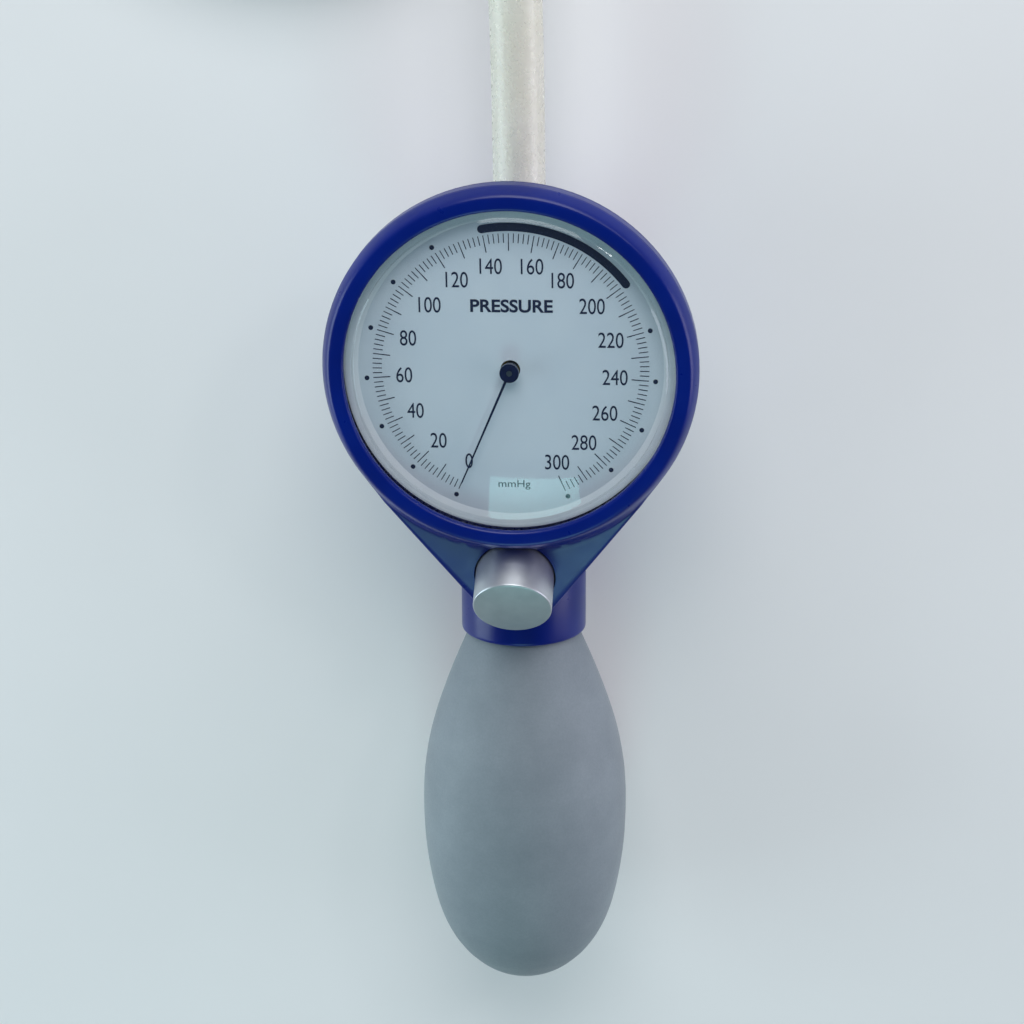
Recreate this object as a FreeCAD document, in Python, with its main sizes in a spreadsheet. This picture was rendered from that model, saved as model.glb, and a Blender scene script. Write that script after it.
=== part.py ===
# Hand inflation bulb with a dial pressure gauge, a push-button release and a hose.
# Millimetres. It lies on its back: +Z out of the dial, +Y towards the hose, -Y towards the bulb.
# The origin is on the back rest face, straight below the pointer's axis.
import FreeCAD, Part
import Sketcher
import math
import os
import re

V = FreeCAD.Vector
doc = FreeCAD.newDocument("inflation_bulb")

# ---- driving dimensions ----
dimensions = {
    # head
    "headRadius": 33.05, "dialHeight": 38.0, "wall": 2.0, "backRadius": 15.0, "backBulge": 0.9,
    "sideDrop": 1.6, "partingDrop": 1.2, "bezelOpening": 29.0, "crownRise": 4.3, "bezelLip": 3.0,
    "crownEdge": 1.6, "lugPlace": "=bezelOpening - 4.2", "lugDrop": 7.8, "lugRadius": 2.8,
    # chin of the front cover
    "chinHalfAngle": 35.17, "chinSlope": 15.96, "chinThick": 2.5, "tipRadius": 7.5, "tipLean": 0.37,
    "chinRise": "=2.3 + tan(chinSlope * 1 deg) * (headRadius - 10.85)",
    "apexPlace": "=headRadius / sin(chinHalfAngle * 1 deg)",
    # neck, collar and bulb
    "neckTilt": 4.29, "neckHeight": 16.75, "collarRadius": 12.0, "collarLength": 12.2,
    "collarStart": "=apexPlace - 11.374 + 1.1 * (collarRadius - 12)", "collarBore": 10.0,
    "neckBore": 7.6, "bulbRadius": 20.08, "bulbLength": 73.95, "bulbWall": 2.2,
    # push button
    "buttonTilt": 31.8, "buttonPlace": "=apexPlace - 16.574",
    "buttonHeight": "=dialHeight + chinRise - tan(chinSlope * 1 deg) * buttonPlace + 0.42",
    "buttonRadius": 7.2,
    "buttonProud": 6.6, "buttonSunk": 3.0, "buttonTravel": 2.5, "buttonGap": 0.3, "wellDepth": 6.0,
    "stemRadius": 1.2, "guideRadius": 3.4, "guideTop": 9.0, "seatDepth": 20.0,
    # dial, lens and pointer
    "dialRadius": 27.5, "dialThick": 0.6, "ringInner": 26.9, "ringOuter": 31.0, "lensThick": 1.0,
    "lensRise": 3.6, "pointerLength": 22.6, "pointerRise": 1.5, "hubRadius": 1.7, "zeroAngle": 23.15,
    # movement
    "arborRadius": 0.5, "runGap": 0.05, "gearRatio": 6.0, "pinionPitch": 1.5, "pinionTeeth": 10,
    "gearHeight": 31.0, "gearThick": 1.0, "sectorOffset": 3.0, "tailArm": 1.9, "tailSwing": 26.15,
    "basePlate": 20.0, "baseThick": 1.2, "movementPlate": 28.6, "plateThick": 1.0, "bridgePlate": 34.2,
    "capsuleBase": 21.9, "capsuleTall": 3.5, "capsuleRadius": 15.0, "rockerHeight": 27.6,
    "rockerPlace": 2.05, "rockerSwing": 17.4,
    # air path
    "channelHeight": 15.5, "channelRadius": 1.5, "blockHalf": 7.0, "blockLow": 10.0,
    "blockEnd": "=backRadius + (headRadius - backRadius) * blockLow / (dialHeight - sideDrop) - 3.959",
    "blockStart": "=collarStart - 6", "insertShank": 5.0,
    # hose
    "hoseDiameter": 9.5, "coilPlace": 121.0, "coilRadius": 48.0, "coilStep": 5.4,
    "shoulderEnd":
        "=backRadius + (headRadius - backRadius) * channelHeight / (dialHeight - sideDrop) + 3.914",
    "connectorHeight": 7.2, "connectorRadius": 7.0,
}
sheet = doc.addObject("Spreadsheet::Sheet", "dims")
for row, (alias, size) in enumerate(dimensions.items(), start=1):
    sheet.set("A%d" % row, alias)
    sheet.set("B%d" % row, str(size))
    sheet.setAlias("B%d" % row, alias)
doc.recompute()


def size(alias):
    return float(getattr(sheet, alias))


def value(expression):
    return float(sheet.evalExpression(expression))


def cells(expression):
    """Give an expression the sheet's name in front of each alias."""
    return re.sub("[A-Za-z]+", lambda word: "dims." + word[0] if word[0] in dimensions else word[0],
                  expression)


def place(piece, x="0", y="0", z="0", tilt="0"):
    """Stand a piece at a point, tilted about X, all from the sheet."""
    piece.Placement = FreeCAD.Placement(V(0, 0, 0), FreeCAD.Rotation(V(1, 0, 0), 1.0))
    for path, expression in (("Base.x", x), ("Base.y", y), ("Base.z", z), ("Rotation.Angle", tilt)):
        piece.setExpression(".Placement." + path, cells(expression))


def frameAt(y, z, tilt):
    return FreeCAD.Placement(V(0, y, z), FreeCAD.Rotation(V(1, 0, 0), tilt))


# the neck's axis points at the bulb, the button's out of its face, the hose's at +Y
neckPlace = {"y": "-collarStart", "z": "neckHeight", "tilt": "90 - neckTilt"}
buttonPlace = {"y": "-buttonPlace", "z": "buttonHeight", "tilt": "buttonTilt"}
hosePlace = {"z": "channelHeight", "tilt": "-90"}
neckFrame = frameAt(-size("collarStart"), size("neckHeight"), 90 - size("neckTilt"))
buttonFrame = frameAt(-size("buttonPlace"), size("buttonHeight"), size("buttonTilt"))


# ---- ways of making a piece ----
def originPlane(body, role):
    return next(item for item in body.Origin.OriginFeatures if item.Role == role)


def newSketch(body, role):
    sketch = body.newObject("Sketcher::SketchObject", "profile")
    sketch.AttachmentSupport = [(originPlane(body, role), "")]
    sketch.MapMode = "FlatFace"
    return sketch


def drive(sketch, kind, geometry, point, expression):
    index = sketch.addConstraint(Sketcher.Constraint(kind, geometry, point, value(expression)))
    sketch.setExpression("Constraints[%d]" % index, cells(expression))


def drawOutline(sketch, points):
    """Closed straight-sided outline whose corners are driven by expressions."""
    spots = [(value(x), value(y)) for x, y in points]
    count = len(points)
    for index in range(count):
        start = V(*spots[index], 0)
        end = V(*spots[(index + 1) % count], 0)
        sketch.addGeometry(Part.LineSegment(start, end))
    for index in range(count):
        sketch.addConstraint(Sketcher.Constraint("Coincident", index, 2, (index + 1) % count, 1))
    for index, (x, y) in enumerate(points):
        drive(sketch, "DistanceX", index, 1, x)
        drive(sketch, "DistanceY", index, 1, y)


def drawCircle(sketch, x, y, radius):
    centre = V(value(x), value(y), 0)
    index = sketch.addGeometry(Part.Circle(centre, V(0, 0, 1), value(radius)))
    drive(sketch, "DistanceX", index, 3, x)
    drive(sketch, "DistanceY", index, 3, y)
    radiusIndex = sketch.addConstraint(Sketcher.Constraint("Radius", index, value(radius)))
    sketch.setExpression("Constraints[%d]" % radiusIndex, cells(radius))


def turned(label, points, stand=None):
    """A piece turned about its own Z from a (radius, height) outline."""
    body = doc.addObject("PartDesign::Body", label)
    body.Label = label
    sketch = newSketch(body, "XZ_Plane")
    drawOutline(sketch, points)
    turn = body.newObject("PartDesign::Revolution", "turn")
    turn.Profile = sketch
    turn.ReferenceAxis = (sketch, ["V_Axis"])
    turn.Angle = 360
    if stand:
        place(body, **stand)
    return body


def plate(label, radius, holes, bottom, thick):
    """A round plate with round holes, each given as (x, y, radius)."""
    body = doc.addObject("PartDesign::Body", label)
    body.Label = label
    sketch = newSketch(body, "XY_Plane")
    drawCircle(sketch, "0", "0", radius)
    for hole in holes:
        drawCircle(sketch, *hole)
    pad = body.newObject("PartDesign::Pad", "sheet")
    pad.Profile = sketch
    pad.Length = value(thick)
    pad.setExpression("Length", cells(thick))
    place(body, z=bottom)
    return body


def featured(label, shape, stand=None):
    """A piece whose shape comes straight from Part."""
    piece = doc.addObject("Part::Feature", label)
    piece.Label = label
    piece.Shape = shape
    if stand:
        piece.Placement = stand
    return piece


def rod(radius, start, end):
    """Cylinder between two points."""
    run = end - start
    return Part.makeCylinder(radius, run.Length, start, run)


def turnSolid(points):
    outline = [V(r, 0, z) for r, z in points]
    return Part.Face(Part.makePolygon(outline + outline[:1])).revolve(V(0, 0, 0), V(0, 0, 1), 360)


# ---- head: housing and front cover ----
headRadius = size("headRadius")
dialHeight = size("dialHeight")
partingHeight = dialHeight - size("partingDrop")
halfAngle = math.radians(size("chinHalfAngle"))
slope = math.tan(math.radians(size("chinSlope")))
reach = 200.0
seamStep = 0.05  # the chin stands this much inside the round head, so that they cross cleanly


def teardropOutline(radius, level, half, tipRadius):
    """Round head with a chin whose straight sides are tangent to it and to a rounded tip."""
    tipMiddle = (tipRadius - radius) / math.sin(half)

    def touch(side, middle, size):
        return V(side * size * math.cos(half), middle - size * math.sin(half), level)

    return Part.Wire([
        Part.Arc(touch(1, 0, radius), V(0, radius, level), touch(-1, 0, radius)).toShape(),
        Part.makeLine(touch(-1, 0, radius), touch(-1, tipMiddle, tipRadius)),
        Part.Arc(touch(-1, tipMiddle, tipRadius), V(0, tipMiddle - tipRadius, level),
                 touch(1, tipMiddle, tipRadius)).toShape(),
        Part.makeLine(touch(1, tipMiddle, tipRadius), touch(1, 0, radius))])


def aboveChin(drop):
    """Everything above the sloping chin plane lowered by drop."""
    level = dialHeight + size("chinRise") - drop
    corners = [V(-reach, reach, level + slope * reach), V(-reach, -reach, level - slope * reach),
               V(-reach, -reach, reach), V(-reach, reach, reach + level)]
    return Part.Face(Part.makePolygon(corners + corners[:1])).extrude(V(2 * reach, 0, 0))


def abovePlane(level):
    return Part.makeBox(2 * reach, 2 * reach, reach, V(-reach, -reach, level))


def neckRod(radius, start, end):
    """Cylinder on the neck's axis, counted from the collar's start towards the bulb."""
    body = Part.makeCylinder(radius, end - start, V(0, 0, start))
    body.Placement = neckFrame
    return body


def buttonRod(radius, top, bottom):
    """Cylinder on the button's axis, counted downwards from the chin surface."""
    body = Part.makeCylinder(radius, bottom - top, V(0, 0, -bottom))
    body.Placement = buttonFrame
    return body


lugAngles = [45 + 90 * k for k in range(4)]
lugSpots = [FreeCAD.Rotation(V(0, 0, 1), angle).multVec(V(size("lugPlace"), 0, 0)) for angle in lugAngles]
lugLow = partingHeight - size("lugDrop")
screwFloor = lugLow - 5


def makeFrontCover():
    """Bezel ring and chin in one, with a spigot and four screw lugs inside."""
    lip = size("bezelOpening")
    crown = dialHeight + size("crownRise")
    lipLow = dialHeight + size("bezelLip")
    edge = dialHeight + size("crownEdge")
    pocket = size("ringOuter") + 0.2
    spigot = headRadius - size("wall") - 1.05
    spigotLow = partingHeight - 1.8
    floor = partingHeight + 0.4
    corners = [(headRadius, edge), (headRadius, partingHeight), (spigot, partingHeight), (spigot, spigotLow),
               (spigot - 0.9, spigotLow), (spigot - 0.9, floor), (pocket, floor), (pocket, lipLow),
               (lip, lipLow), (lip, crown - 1.1)]
    straight = [V(r, 0, z) for r, z in corners]
    outline = [Part.makeLine(start, end) for start, end in zip(straight, straight[1:])]
    outline.append(Part.Arc(straight[-1], V(lip + 0.35, 0, crown - 0.3), V(lip + 1.2, 0, crown)).toShape())
    outline.append(Part.Arc(V(lip + 1.2, 0, crown), V(headRadius - 0.85, 0, crown - 0.75),
                            straight[0]).toShape())
    ring = Part.Face(Part.Wire(outline)).revolve(V(0, 0, 0), V(0, 0, 1), 360)
    ring = ring.cut(Part.makeBox(30, 40, partingHeight - 0.01, V(-15, -60, 0)))
    chin = Part.Face(teardropOutline(
        headRadius - seamStep, dialHeight - 15, halfAngle, size("tipRadius") - seamStep))
    chin = chin.extrude(V(0, 0, 15 + size("crownEdge")))
    chin = chin.cut(aboveChin(0))
    chin = chin.common(aboveChin(size("chinThick")).fuse(abovePlane(partingHeight)))
    chin = chin.cut(Part.makeCylinder(pocket, reach, V(0, 0, 0)))
    chin = chin.cut(buttonRod(size("buttonRadius") + size("buttonGap"), -10, 20))
    chin = chin.cut(neckRod(size("collarRadius") + 0.1, -0.3, 20))
    cover = ring.fuse(chin)
    for spot, angle in zip(lugSpots, lugAngles):
        lug = Part.makeCylinder(size("lugRadius"), partingHeight - lugLow - 0.05, spot + V(0, 0, lugLow))
        web = Part.makeBox(spigot - 0.4 - size("lugPlace"), 3.2, 1.7,
                           V(size("lugPlace"), -1.6, spigotLow + 0.05))
        web.rotate(V(0, 0, 0), V(0, 0, 1), angle)
        cover = cover.fuse([lug, web]).cut(Part.makeCylinder(0.95, 6.5, spot + V(0, 0, lugLow)))
    return cover


def envelope(inset):
    """Outer skin of the housing moved inwards by inset, open at the top."""
    radius = headRadius - inset
    straight = dialHeight - size("sideDrop")
    back = size("backRadius")
    chord = math.hypot(headRadius - back, straight)
    full = chord ** 2 / (8 * size("backBulge")) + size("backBulge") / 2
    toMiddle = (full - size("backBulge")) / chord
    middle = 0.5 * (headRadius + back) - straight * toMiddle
    middleLevel = 0.5 * straight + (headRadius - back) * toMiddle
    top = dialHeight + 5

    def skin(level, inwards):
        """Radius of the bowl's skin at a level."""
        curved = middle + math.sqrt((full - inwards) ** 2 - (middleLevel - level) ** 2)
        return min(curved, headRadius - inwards)

    corner = middleLevel - math.sqrt((full - inset) ** 2 - (radius - middle) ** 2)
    half = straight / 2
    bowl = Part.Wire([
        Part.LineSegment(V(0, 0, inset), V(skin(inset, inset), 0, inset)).toShape(),
        Part.Arc(V(skin(inset, inset), 0, inset), V(skin(half, inset), 0, half),
                 V(radius, 0, corner)).toShape(),
        Part.LineSegment(V(radius, 0, corner), V(radius, 0, top)).toShape(),
        Part.LineSegment(V(radius, 0, top), V(0, 0, top)).toShape(),
        Part.LineSegment(V(0, 0, top), V(0, 0, inset)).toShape()])
    solid = Part.Face(bowl).revolve(V(0, 0, 0), V(0, 0, 1), 360)
    neckLevel = size("neckHeight")

    def outline(level):
        tip = size("apexPlace") - size("tipLean") * max(straight - level, 0)
        return teardropOutline(skin(level, inset) - seamStep, level, math.asin(skin(level, 0) / tip),
                               size("tipRadius") - inset - seamStep)

    chin = Part.makeLoft([outline(level) for level in (
        neckLevel, 0.5 * (neckLevel + straight), straight, top)], True, True)
    flankPlace = -8.0
    flankHalf = math.sqrt(skin(neckLevel, inset) ** 2 - flankPlace ** 2) - 0.9
    flank = Part.Ellipse(V(flankHalf, flankPlace, neckLevel), V(0, flankPlace, neckLevel + 13.2 - inset),
                         V(0, flankPlace, neckLevel))
    mouth = neckFrame.multVec(V(0, 0, 1))
    throat = Part.Circle(mouth, neckFrame.Rotation.multVec(V(0, 0, 1)), size("collarRadius") - inset - 0.2)
    throatWires = [Part.Wire([flank.toShape()]), Part.Wire([throat.toShape()])]
    return solid.fuse([chin, Part.makeLoft(throatWires, True, True)])


def makeRearHousing():
    hollowEnd = size("blockStart") + 0.6
    shell = envelope(0)
    shell = shell.cut(neckRod(size("collarRadius") + 0.1, -0.2, 30))
    hollow = envelope(size("wall"))
    hollow = hollow.cut(Part.makeBox(2 * reach, reach, reach, V(-reach, -reach - hollowEnd, 0)))
    shell = shell.cut(hollow)
    shell = shell.cut(abovePlane(partingHeight)).cut(aboveChin(size("chinThick")))
    wellRadius = size("buttonRadius") + size("buttonGap")
    well = buttonRod(wellRadius + 1.5, 0, size("wellDepth") + 1.5)
    well = well.cut(abovePlane(partingHeight)).cut(aboveChin(size("chinThick")))
    well = well.cut(neckRod(size("collarRadius") + 0.1, -0.2, 30))
    well = well.common(envelope(0))
    shell = shell.fuse(well)
    shell = shell.cut(buttonRod(wellRadius, -10, size("wellDepth")))
    shell = shell.cut(buttonRod(size("guideRadius") + 0.2, 0, 20))
    shell = shell.cut(neckRod(size("insertShank") + 0.1, -20, 10))
    channel = size("channelHeight")
    seat = size("shoulderEnd") - 3.6
    shell = shell.fuse(rod(6.6, V(0, seat - 2.2, channel), V(0, seat, channel)))
    shell = shell.cut(rod(5.5, V(0, seat, channel), V(0, seat + 10, channel)))
    shell = shell.cut(rod(4.1, V(0, seat - 6, channel), V(0, seat + 10, channel)))
    for spot in lugSpots:
        column = Part.makeCylinder(size("lugRadius") + 0.8, lugLow - 8, spot + V(0, 0, 8))
        shell = shell.fuse(column.common(envelope(0)))
        shell = shell.cut(Part.makeCylinder(1.3, 60, spot))
        shell = shell.cut(Part.makeCylinder(2.6, screwFloor, spot))
    return shell


featured("front_cover", makeFrontCover())
featured("rear_housing", makeRearHousing())


def screwSet(label, spots, low, shank, length, head, tall, down=True):
    """Identical pan-head screws, one separate solid each."""
    turn = -1 if down else 1
    points = [(0, 0), (shank, 0), (shank, length * turn), (0, length * turn)]
    cap = [(0, 0), (head, 0), (head, -0.6 * tall * turn), (0.7 * head, -tall * turn), (0, -tall * turn)]
    one = turnSolid(points).fuse(turnSolid(cap)).removeSplitter()
    slot = Part.makeBox(2 * head, 0.35 * head, 0.4 * tall, V(-head, -0.175 * head, 0))
    slot.translate(V(0, 0, -tall * turn if turn > 0 else tall - 0.4 * tall))
    one = one.cut(slot)
    return featured(label, Part.makeCompound([one.translated(spot + V(0, 0, low)) for spot in spots]))


screwSet("cover_screws", lugSpots, screwFloor, 0.9, lugLow + 5.5 - screwFloor, 2.3, 1.8, down=False)

# ---- dial, lens and their rings ----
turned("dial_ring", [
    ("ringInner", "dialHeight"), ("dialRadius + 1.6", "dialHeight + 0.5"),
    ("ringOuter", "dialHeight + 0.5"), ("ringOuter", "dialHeight - 0.8"),
    ("dialRadius + 0.1", "dialHeight - 0.8"), ("dialRadius + 0.1", "dialHeight")])
plate("dial_plate", "dialRadius", [("0", "0", "1.75")], "dialHeight - dialThick", "dialThick")
turned("lens_seal", [
    ("ringOuter - 1.6", "dialHeight + 0.5"), ("ringOuter - 0.1", "dialHeight + 0.5"),
    ("ringOuter - 0.1", "dialHeight + 0.9"), ("ringOuter - 1.6", "dialHeight + 0.9")])
turned("lens", [
    ("0", "dialHeight + lensRise"), ("bezelOpening - 2.5", "dialHeight + lensRise"),
    ("bezelOpening - 1.3", "dialHeight + lensRise - 0.7"), ("bezelOpening - 1.2", "dialHeight + 0.9"),
    ("ringOuter - 0.1", "dialHeight + 0.9"), ("ringOuter - 0.1", "dialHeight + bezelLip"),
    ("bezelOpening - 0.2", "dialHeight + bezelLip"),
    ("bezelOpening - 0.4", "dialHeight + lensRise + lensThick - 1.1"),
    ("bezelOpening - 1.6", "dialHeight + lensRise + lensThick"),
    ("0", "dialHeight + lensRise + lensThick")])

# ---- movement ----
sectorX = math.sqrt((size("pinionPitch") * (1 + size("gearRatio"))) ** 2 - size("sectorOffset") ** 2)
pivot = V(sectorX, size("sectorOffset"), 0)
pivotX = "(sqrt((pinionPitch * (1 + gearRatio)) ^ 2 - sectorOffset ^ 2))"
bridgeSpots = [V(-9, -6, 0), V(-9, 6, 0), V(2, 12.5, 0)]
pillarSpots = [V(17.2 * math.cos(a), 17.2 * math.sin(a), 0)
               for a in (math.radians(150), math.radians(270), math.radians(30))]
blockScrews = [V(x, y, 0) for x in (-5, 5) for y in (-17, 12)]


def ring(spots, radius):
    return [("%.4f" % spot.x, "%.4f" % spot.y, radius) for spot in spots]


plate("base_plate", "capsuleRadius + 5.6", [("0", "0", "2.0")] + ring(blockScrews, "1.0"), "basePlate",
      "baseThick")
plate("bridge_plate", "14", [("0", "0", "arborRadius + runGap"),
                             (pivotX, "sectorOffset", "arborRadius + runGap")]
      + ring(bridgeSpots, "0.7"), "bridgePlate", "plateThick")


def makeMovementPlate():
    bottom = size("movementPlate")
    sheetPlate = Part.makeCylinder(19, size("plateThick"), V(0, 0, bottom))
    hole = size("arborRadius") + size("runGap")
    for spot in (V(0, 0, 0), pivot):
        sheetPlate = sheetPlate.cut(Part.makeCylinder(hole, 60, spot))
    for spot in bridgeSpots:
        sheetPlate = sheetPlate.cut(Part.makeCylinder(0.7, 60, spot))
    bladeX = pivot.x + size("tailArm") * math.cos(math.radians(size("tailSwing")))
    sheetPlate = sheetPlate.cut(Part.makeBox(2.0, 6.5, 60, V(bladeX - 1.0, -1.5, 0)))
    height = size("rockerHeight")
    for x in (-5.0, bladeX - 3.5):
        lug = Part.makeBox(1.2, 3.0, bottom - height + 1.1, V(x, size("rockerPlace") - 1.5, height - 1.1))
        lug = lug.cut(rod(hole, V(x - 1, size("rockerPlace"), height), V(x + 3, size("rockerPlace"), height)))
        sheetPlate = sheetPlate.fuse(lug)
    return sheetPlate.removeSplitter()


def posts(label, spots, low, high, radius):
    return featured(label, Part.makeCompound(
        [Part.makeCylinder(radius, high - low, spot + V(0, 0, low)) for spot in spots]))


featured("movement_plate", makeMovementPlate())
posts("base_pillars", pillarSpots, size("basePlate") + size("baseThick"), size("movementPlate"), 1.4)
posts("bridge_pillars", bridgeSpots, size("movementPlate") + size("plateThick"), size("bridgePlate"), 1.3)
screwSet("bridge_screws", bridgeSpots, size("bridgePlate") + size("plateThick"), 0.6, 0.9, 1.2, 0.8)
screwSet("movement_screws", blockScrews, size("basePlate") + size("baseThick"), 0.9, 4.0, 1.6, 1.0)

turned("capsule_stud", [
    ("0.8", "channelHeight + 1"), ("1.9", "channelHeight + 1"), ("1.9", "capsuleBase"),
    ("0.8", "capsuleBase")])
turned("capsule", [
    ("0", "capsuleBase"), ("3", "capsuleBase"), ("3.6", "capsuleBase + 0.5"),
    ("5.6", "capsuleBase + 0.1"), ("7.6", "capsuleBase + 0.6"), ("9.6", "capsuleBase + 0.2"),
    ("11.6", "capsuleBase + 0.9"), ("capsuleRadius", "capsuleBase + 1.6"),
    ("capsuleRadius", "capsuleBase + capsuleTall - 1.6"), ("11.6", "capsuleBase + capsuleTall - 0.9"),
    ("9.6", "capsuleBase + capsuleTall - 0.2"), ("7.6", "capsuleBase + capsuleTall - 0.6"),
    ("5.6", "capsuleBase + capsuleTall - 0.1"), ("3.6", "capsuleBase + capsuleTall - 0.5"),
    ("3", "capsuleBase + capsuleTall"), ("0", "capsuleBase + capsuleTall")])
stemTop = size("rockerHeight") - size("rockerPlace") * math.sin(math.radians(size("rockerSwing"))) - 0.55
featured("capsule_stem", Part.makeCylinder(
    0.8, stemTop - size("capsuleBase") - size("capsuleTall"),
    V(0, 0, size("capsuleBase") + size("capsuleTall"))))


def makeRockingShaft():
    """Horizontal shaft; one arm rides on the capsule, the other pushes the sector's tail."""
    height = size("rockerHeight")
    y = size("rockerPlace")
    bladeX = pivot.x + size("tailArm") * math.cos(math.radians(size("tailSwing")))
    shaft = rod(size("arborRadius"), V(-5.6, y, height), V(bladeX + 0.6, y, height))
    liftArm = Part.makeBox(1.2, y + 0.5, 0.5, V(-0.6, -0.5, height - 0.25))
    blade = Part.makeBox(1.2, 0.5, 3.1, V(bladeX - 0.6, y - 0.25, height))
    rest = liftArm.fuse(blade)
    rest.rotate(V(0, y, height), V(1, 0, 0), size("rockerSwing"))
    return shaft.fuse(rest).removeSplitter()


featured("rocking_shaft", makeRockingShaft())


def toothOutline(pitch, teeth, first, count, addendum, root, thick):
    """Tooth tips and gaps along an arc, as points about the gear's own centre."""
    step = 2 * math.pi / teeth
    points = []
    for index in range(count):
        middle = first + index * step
        for radius, share in ((pitch - root, -0.5), (pitch - root, -0.36), (pitch + addendum, -0.5 * thick),
                              (pitch + addendum, 0.5 * thick), (pitch - root, 0.36)):
            angle = middle + share * step
            points.append(V(radius * math.cos(angle), radius * math.sin(angle), 0))
    return points


def makePointerArbor(meshAngle):
    radius = size("arborRadius")
    low = size("movementPlate") + 0.2
    arbor = Part.makeCylinder(radius, dialHeight + size("pointerRise") + 0.9 - low, V(0, 0, low))
    collet = Part.makeCylinder(1.0, 0.9, V(0, 0, size("bridgePlate") + size("plateThick") + 0.3))
    step = 2 * math.pi / size("pinionTeeth")
    outline = toothOutline(size("pinionPitch"), size("pinionTeeth"), meshAngle + 0.5 * step,
                           int(size("pinionTeeth")), 0.2, 0.34, 0.16)
    outline = [point + V(0, 0, size("gearHeight") - 0.3) for point in outline]
    pinion = Part.Face(Part.makePolygon(outline + outline[:1])).extrude(V(0, 0, size("gearThick") + 0.6))
    return arbor.fuse([collet, pinion]).removeSplitter()


def makeSectorGear(meshAngle):
    """Toothed sector on its own arbor, with a tail pin that the rocking shaft pushes."""
    pitch = size("pinionPitch") * size("gearRatio")
    teeth = size("pinionTeeth") * size("gearRatio")
    step = 2 * math.pi / teeth
    count = 11
    first = meshAngle - (count - 2) * step
    rim = toothOutline(pitch, teeth, first, count, 0.2, 0.34, 0.2)
    last = first + (count - 1) * step + 0.5 * step
    inner = [V(6.6 * math.cos(a), 6.6 * math.sin(a), 0)
             for a in (last - (last - first + 0.5 * step) * k / 8 for k in range(9))]
    blank = Part.Face(Part.makePolygon(rim + inner + rim[:1])).extrude(V(0, 0, size("gearThick")))
    hub = Part.makeCylinder(1.5, size("gearThick"))
    spokes = []
    for angle in (first + 0.5 * step, last - step):
        spoke = Part.makeBox(7.2, 1.0, size("gearThick"), V(0, -0.5, 0))
        spoke.rotate(V(0, 0, 0), V(0, 0, 1), math.degrees(angle))
        spokes.append(spoke)
    tailAngle = -size("tailSwing")
    tail = Part.makeBox(size("tailArm"), 0.9, size("gearThick"), V(0, -0.45, 0))
    tail = tail.fuse(Part.makeCylinder(0.45, size("gearThick"), V(size("tailArm"), 0, 0)))
    tail = tail.fuse(Part.makeCylinder(0.35, 1.0, V(size("tailArm"), 0, -0.9)))
    tail.rotate(V(0, 0, 0), V(0, 0, 1), tailAngle)
    gear = blank.fuse([hub, tail] + spokes)
    gear.translate(pivot + V(0, 0, size("gearHeight")))
    low = size("movementPlate") + 0.2
    high = size("bridgePlate") + size("plateThick") - 0.1
    arbor = Part.makeCylinder(size("arborRadius"), high - low, pivot + V(0, 0, low))
    return gear.fuse(arbor).removeSplitter()


meshAngle = math.atan2(pivot.y, pivot.x)
featured("pointer_arbor", makePointerArbor(meshAngle))
featured("sector_gear", makeSectorGear(meshAngle + math.pi))


def makePointer():
    """Tapered needle on a round hub, at the zero mark."""
    low = dialHeight + size("pointerRise")
    length = size("pointerLength")
    wide = 0.24
    fine = 0.12
    needle = Part.makePolygon([V(-wide, 0, low), V(wide, 0, low), V(fine, -length, low),
                               V(-fine, -length, low), V(-wide, 0, low)])
    pointer = Part.Face(needle).extrude(V(0, 0, 0.25))
    pointer = pointer.fuse(Part.makeCylinder(size("hubRadius"), 0.8, V(0, 0, low)))
    pointer = pointer.cut(Part.makeCylinder(size("arborRadius"), 5, V(0, 0, low - 1)))
    pointer.rotate(V(0, 0, 0), V(0, 0, 1), -size("zeroAngle"))
    return pointer.removeSplitter()


featured("pointer", makePointer())


def makeHairspring():
    """Flat spiral strip between the arbor's collet and its stud."""
    low = size("bridgePlate") + size("plateThick") + 0.5
    turns = 4.0
    inner = 1.15
    outer = 5.0
    edges = []
    for shift in (0.0, 0.12):
        points = []
        for index in range(73):
            share = index / 72
            angle = 2 * math.pi * turns * share
            radius = inner + (outer - inner) * share + shift
            points.append(V(radius * math.cos(angle), radius * math.sin(angle), low))
        line = Part.BSplineCurve()
        line.interpolate(points)
        edges.append(line.toShape())
    ends = [Part.makeLine(edges[0].Vertexes[k].Point, edges[1].Vertexes[k].Point) for k in (0, 1)]
    strip = Part.Wire(Part.__sortEdges__([edges[0], ends[1], edges[1], ends[0]]))
    return Part.Face(strip).extrude(V(0, 0, 0.5))


featured("hairspring", makeHairspring())
featured("hairspring_stud", Part.makeBox(
    1.2, 1.6, 1.4, V(5.12, -0.8, size("bridgePlate") + size("plateThick"))))

# ---- air manifold with the release valve ----
channelHeight = size("channelHeight")


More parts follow.
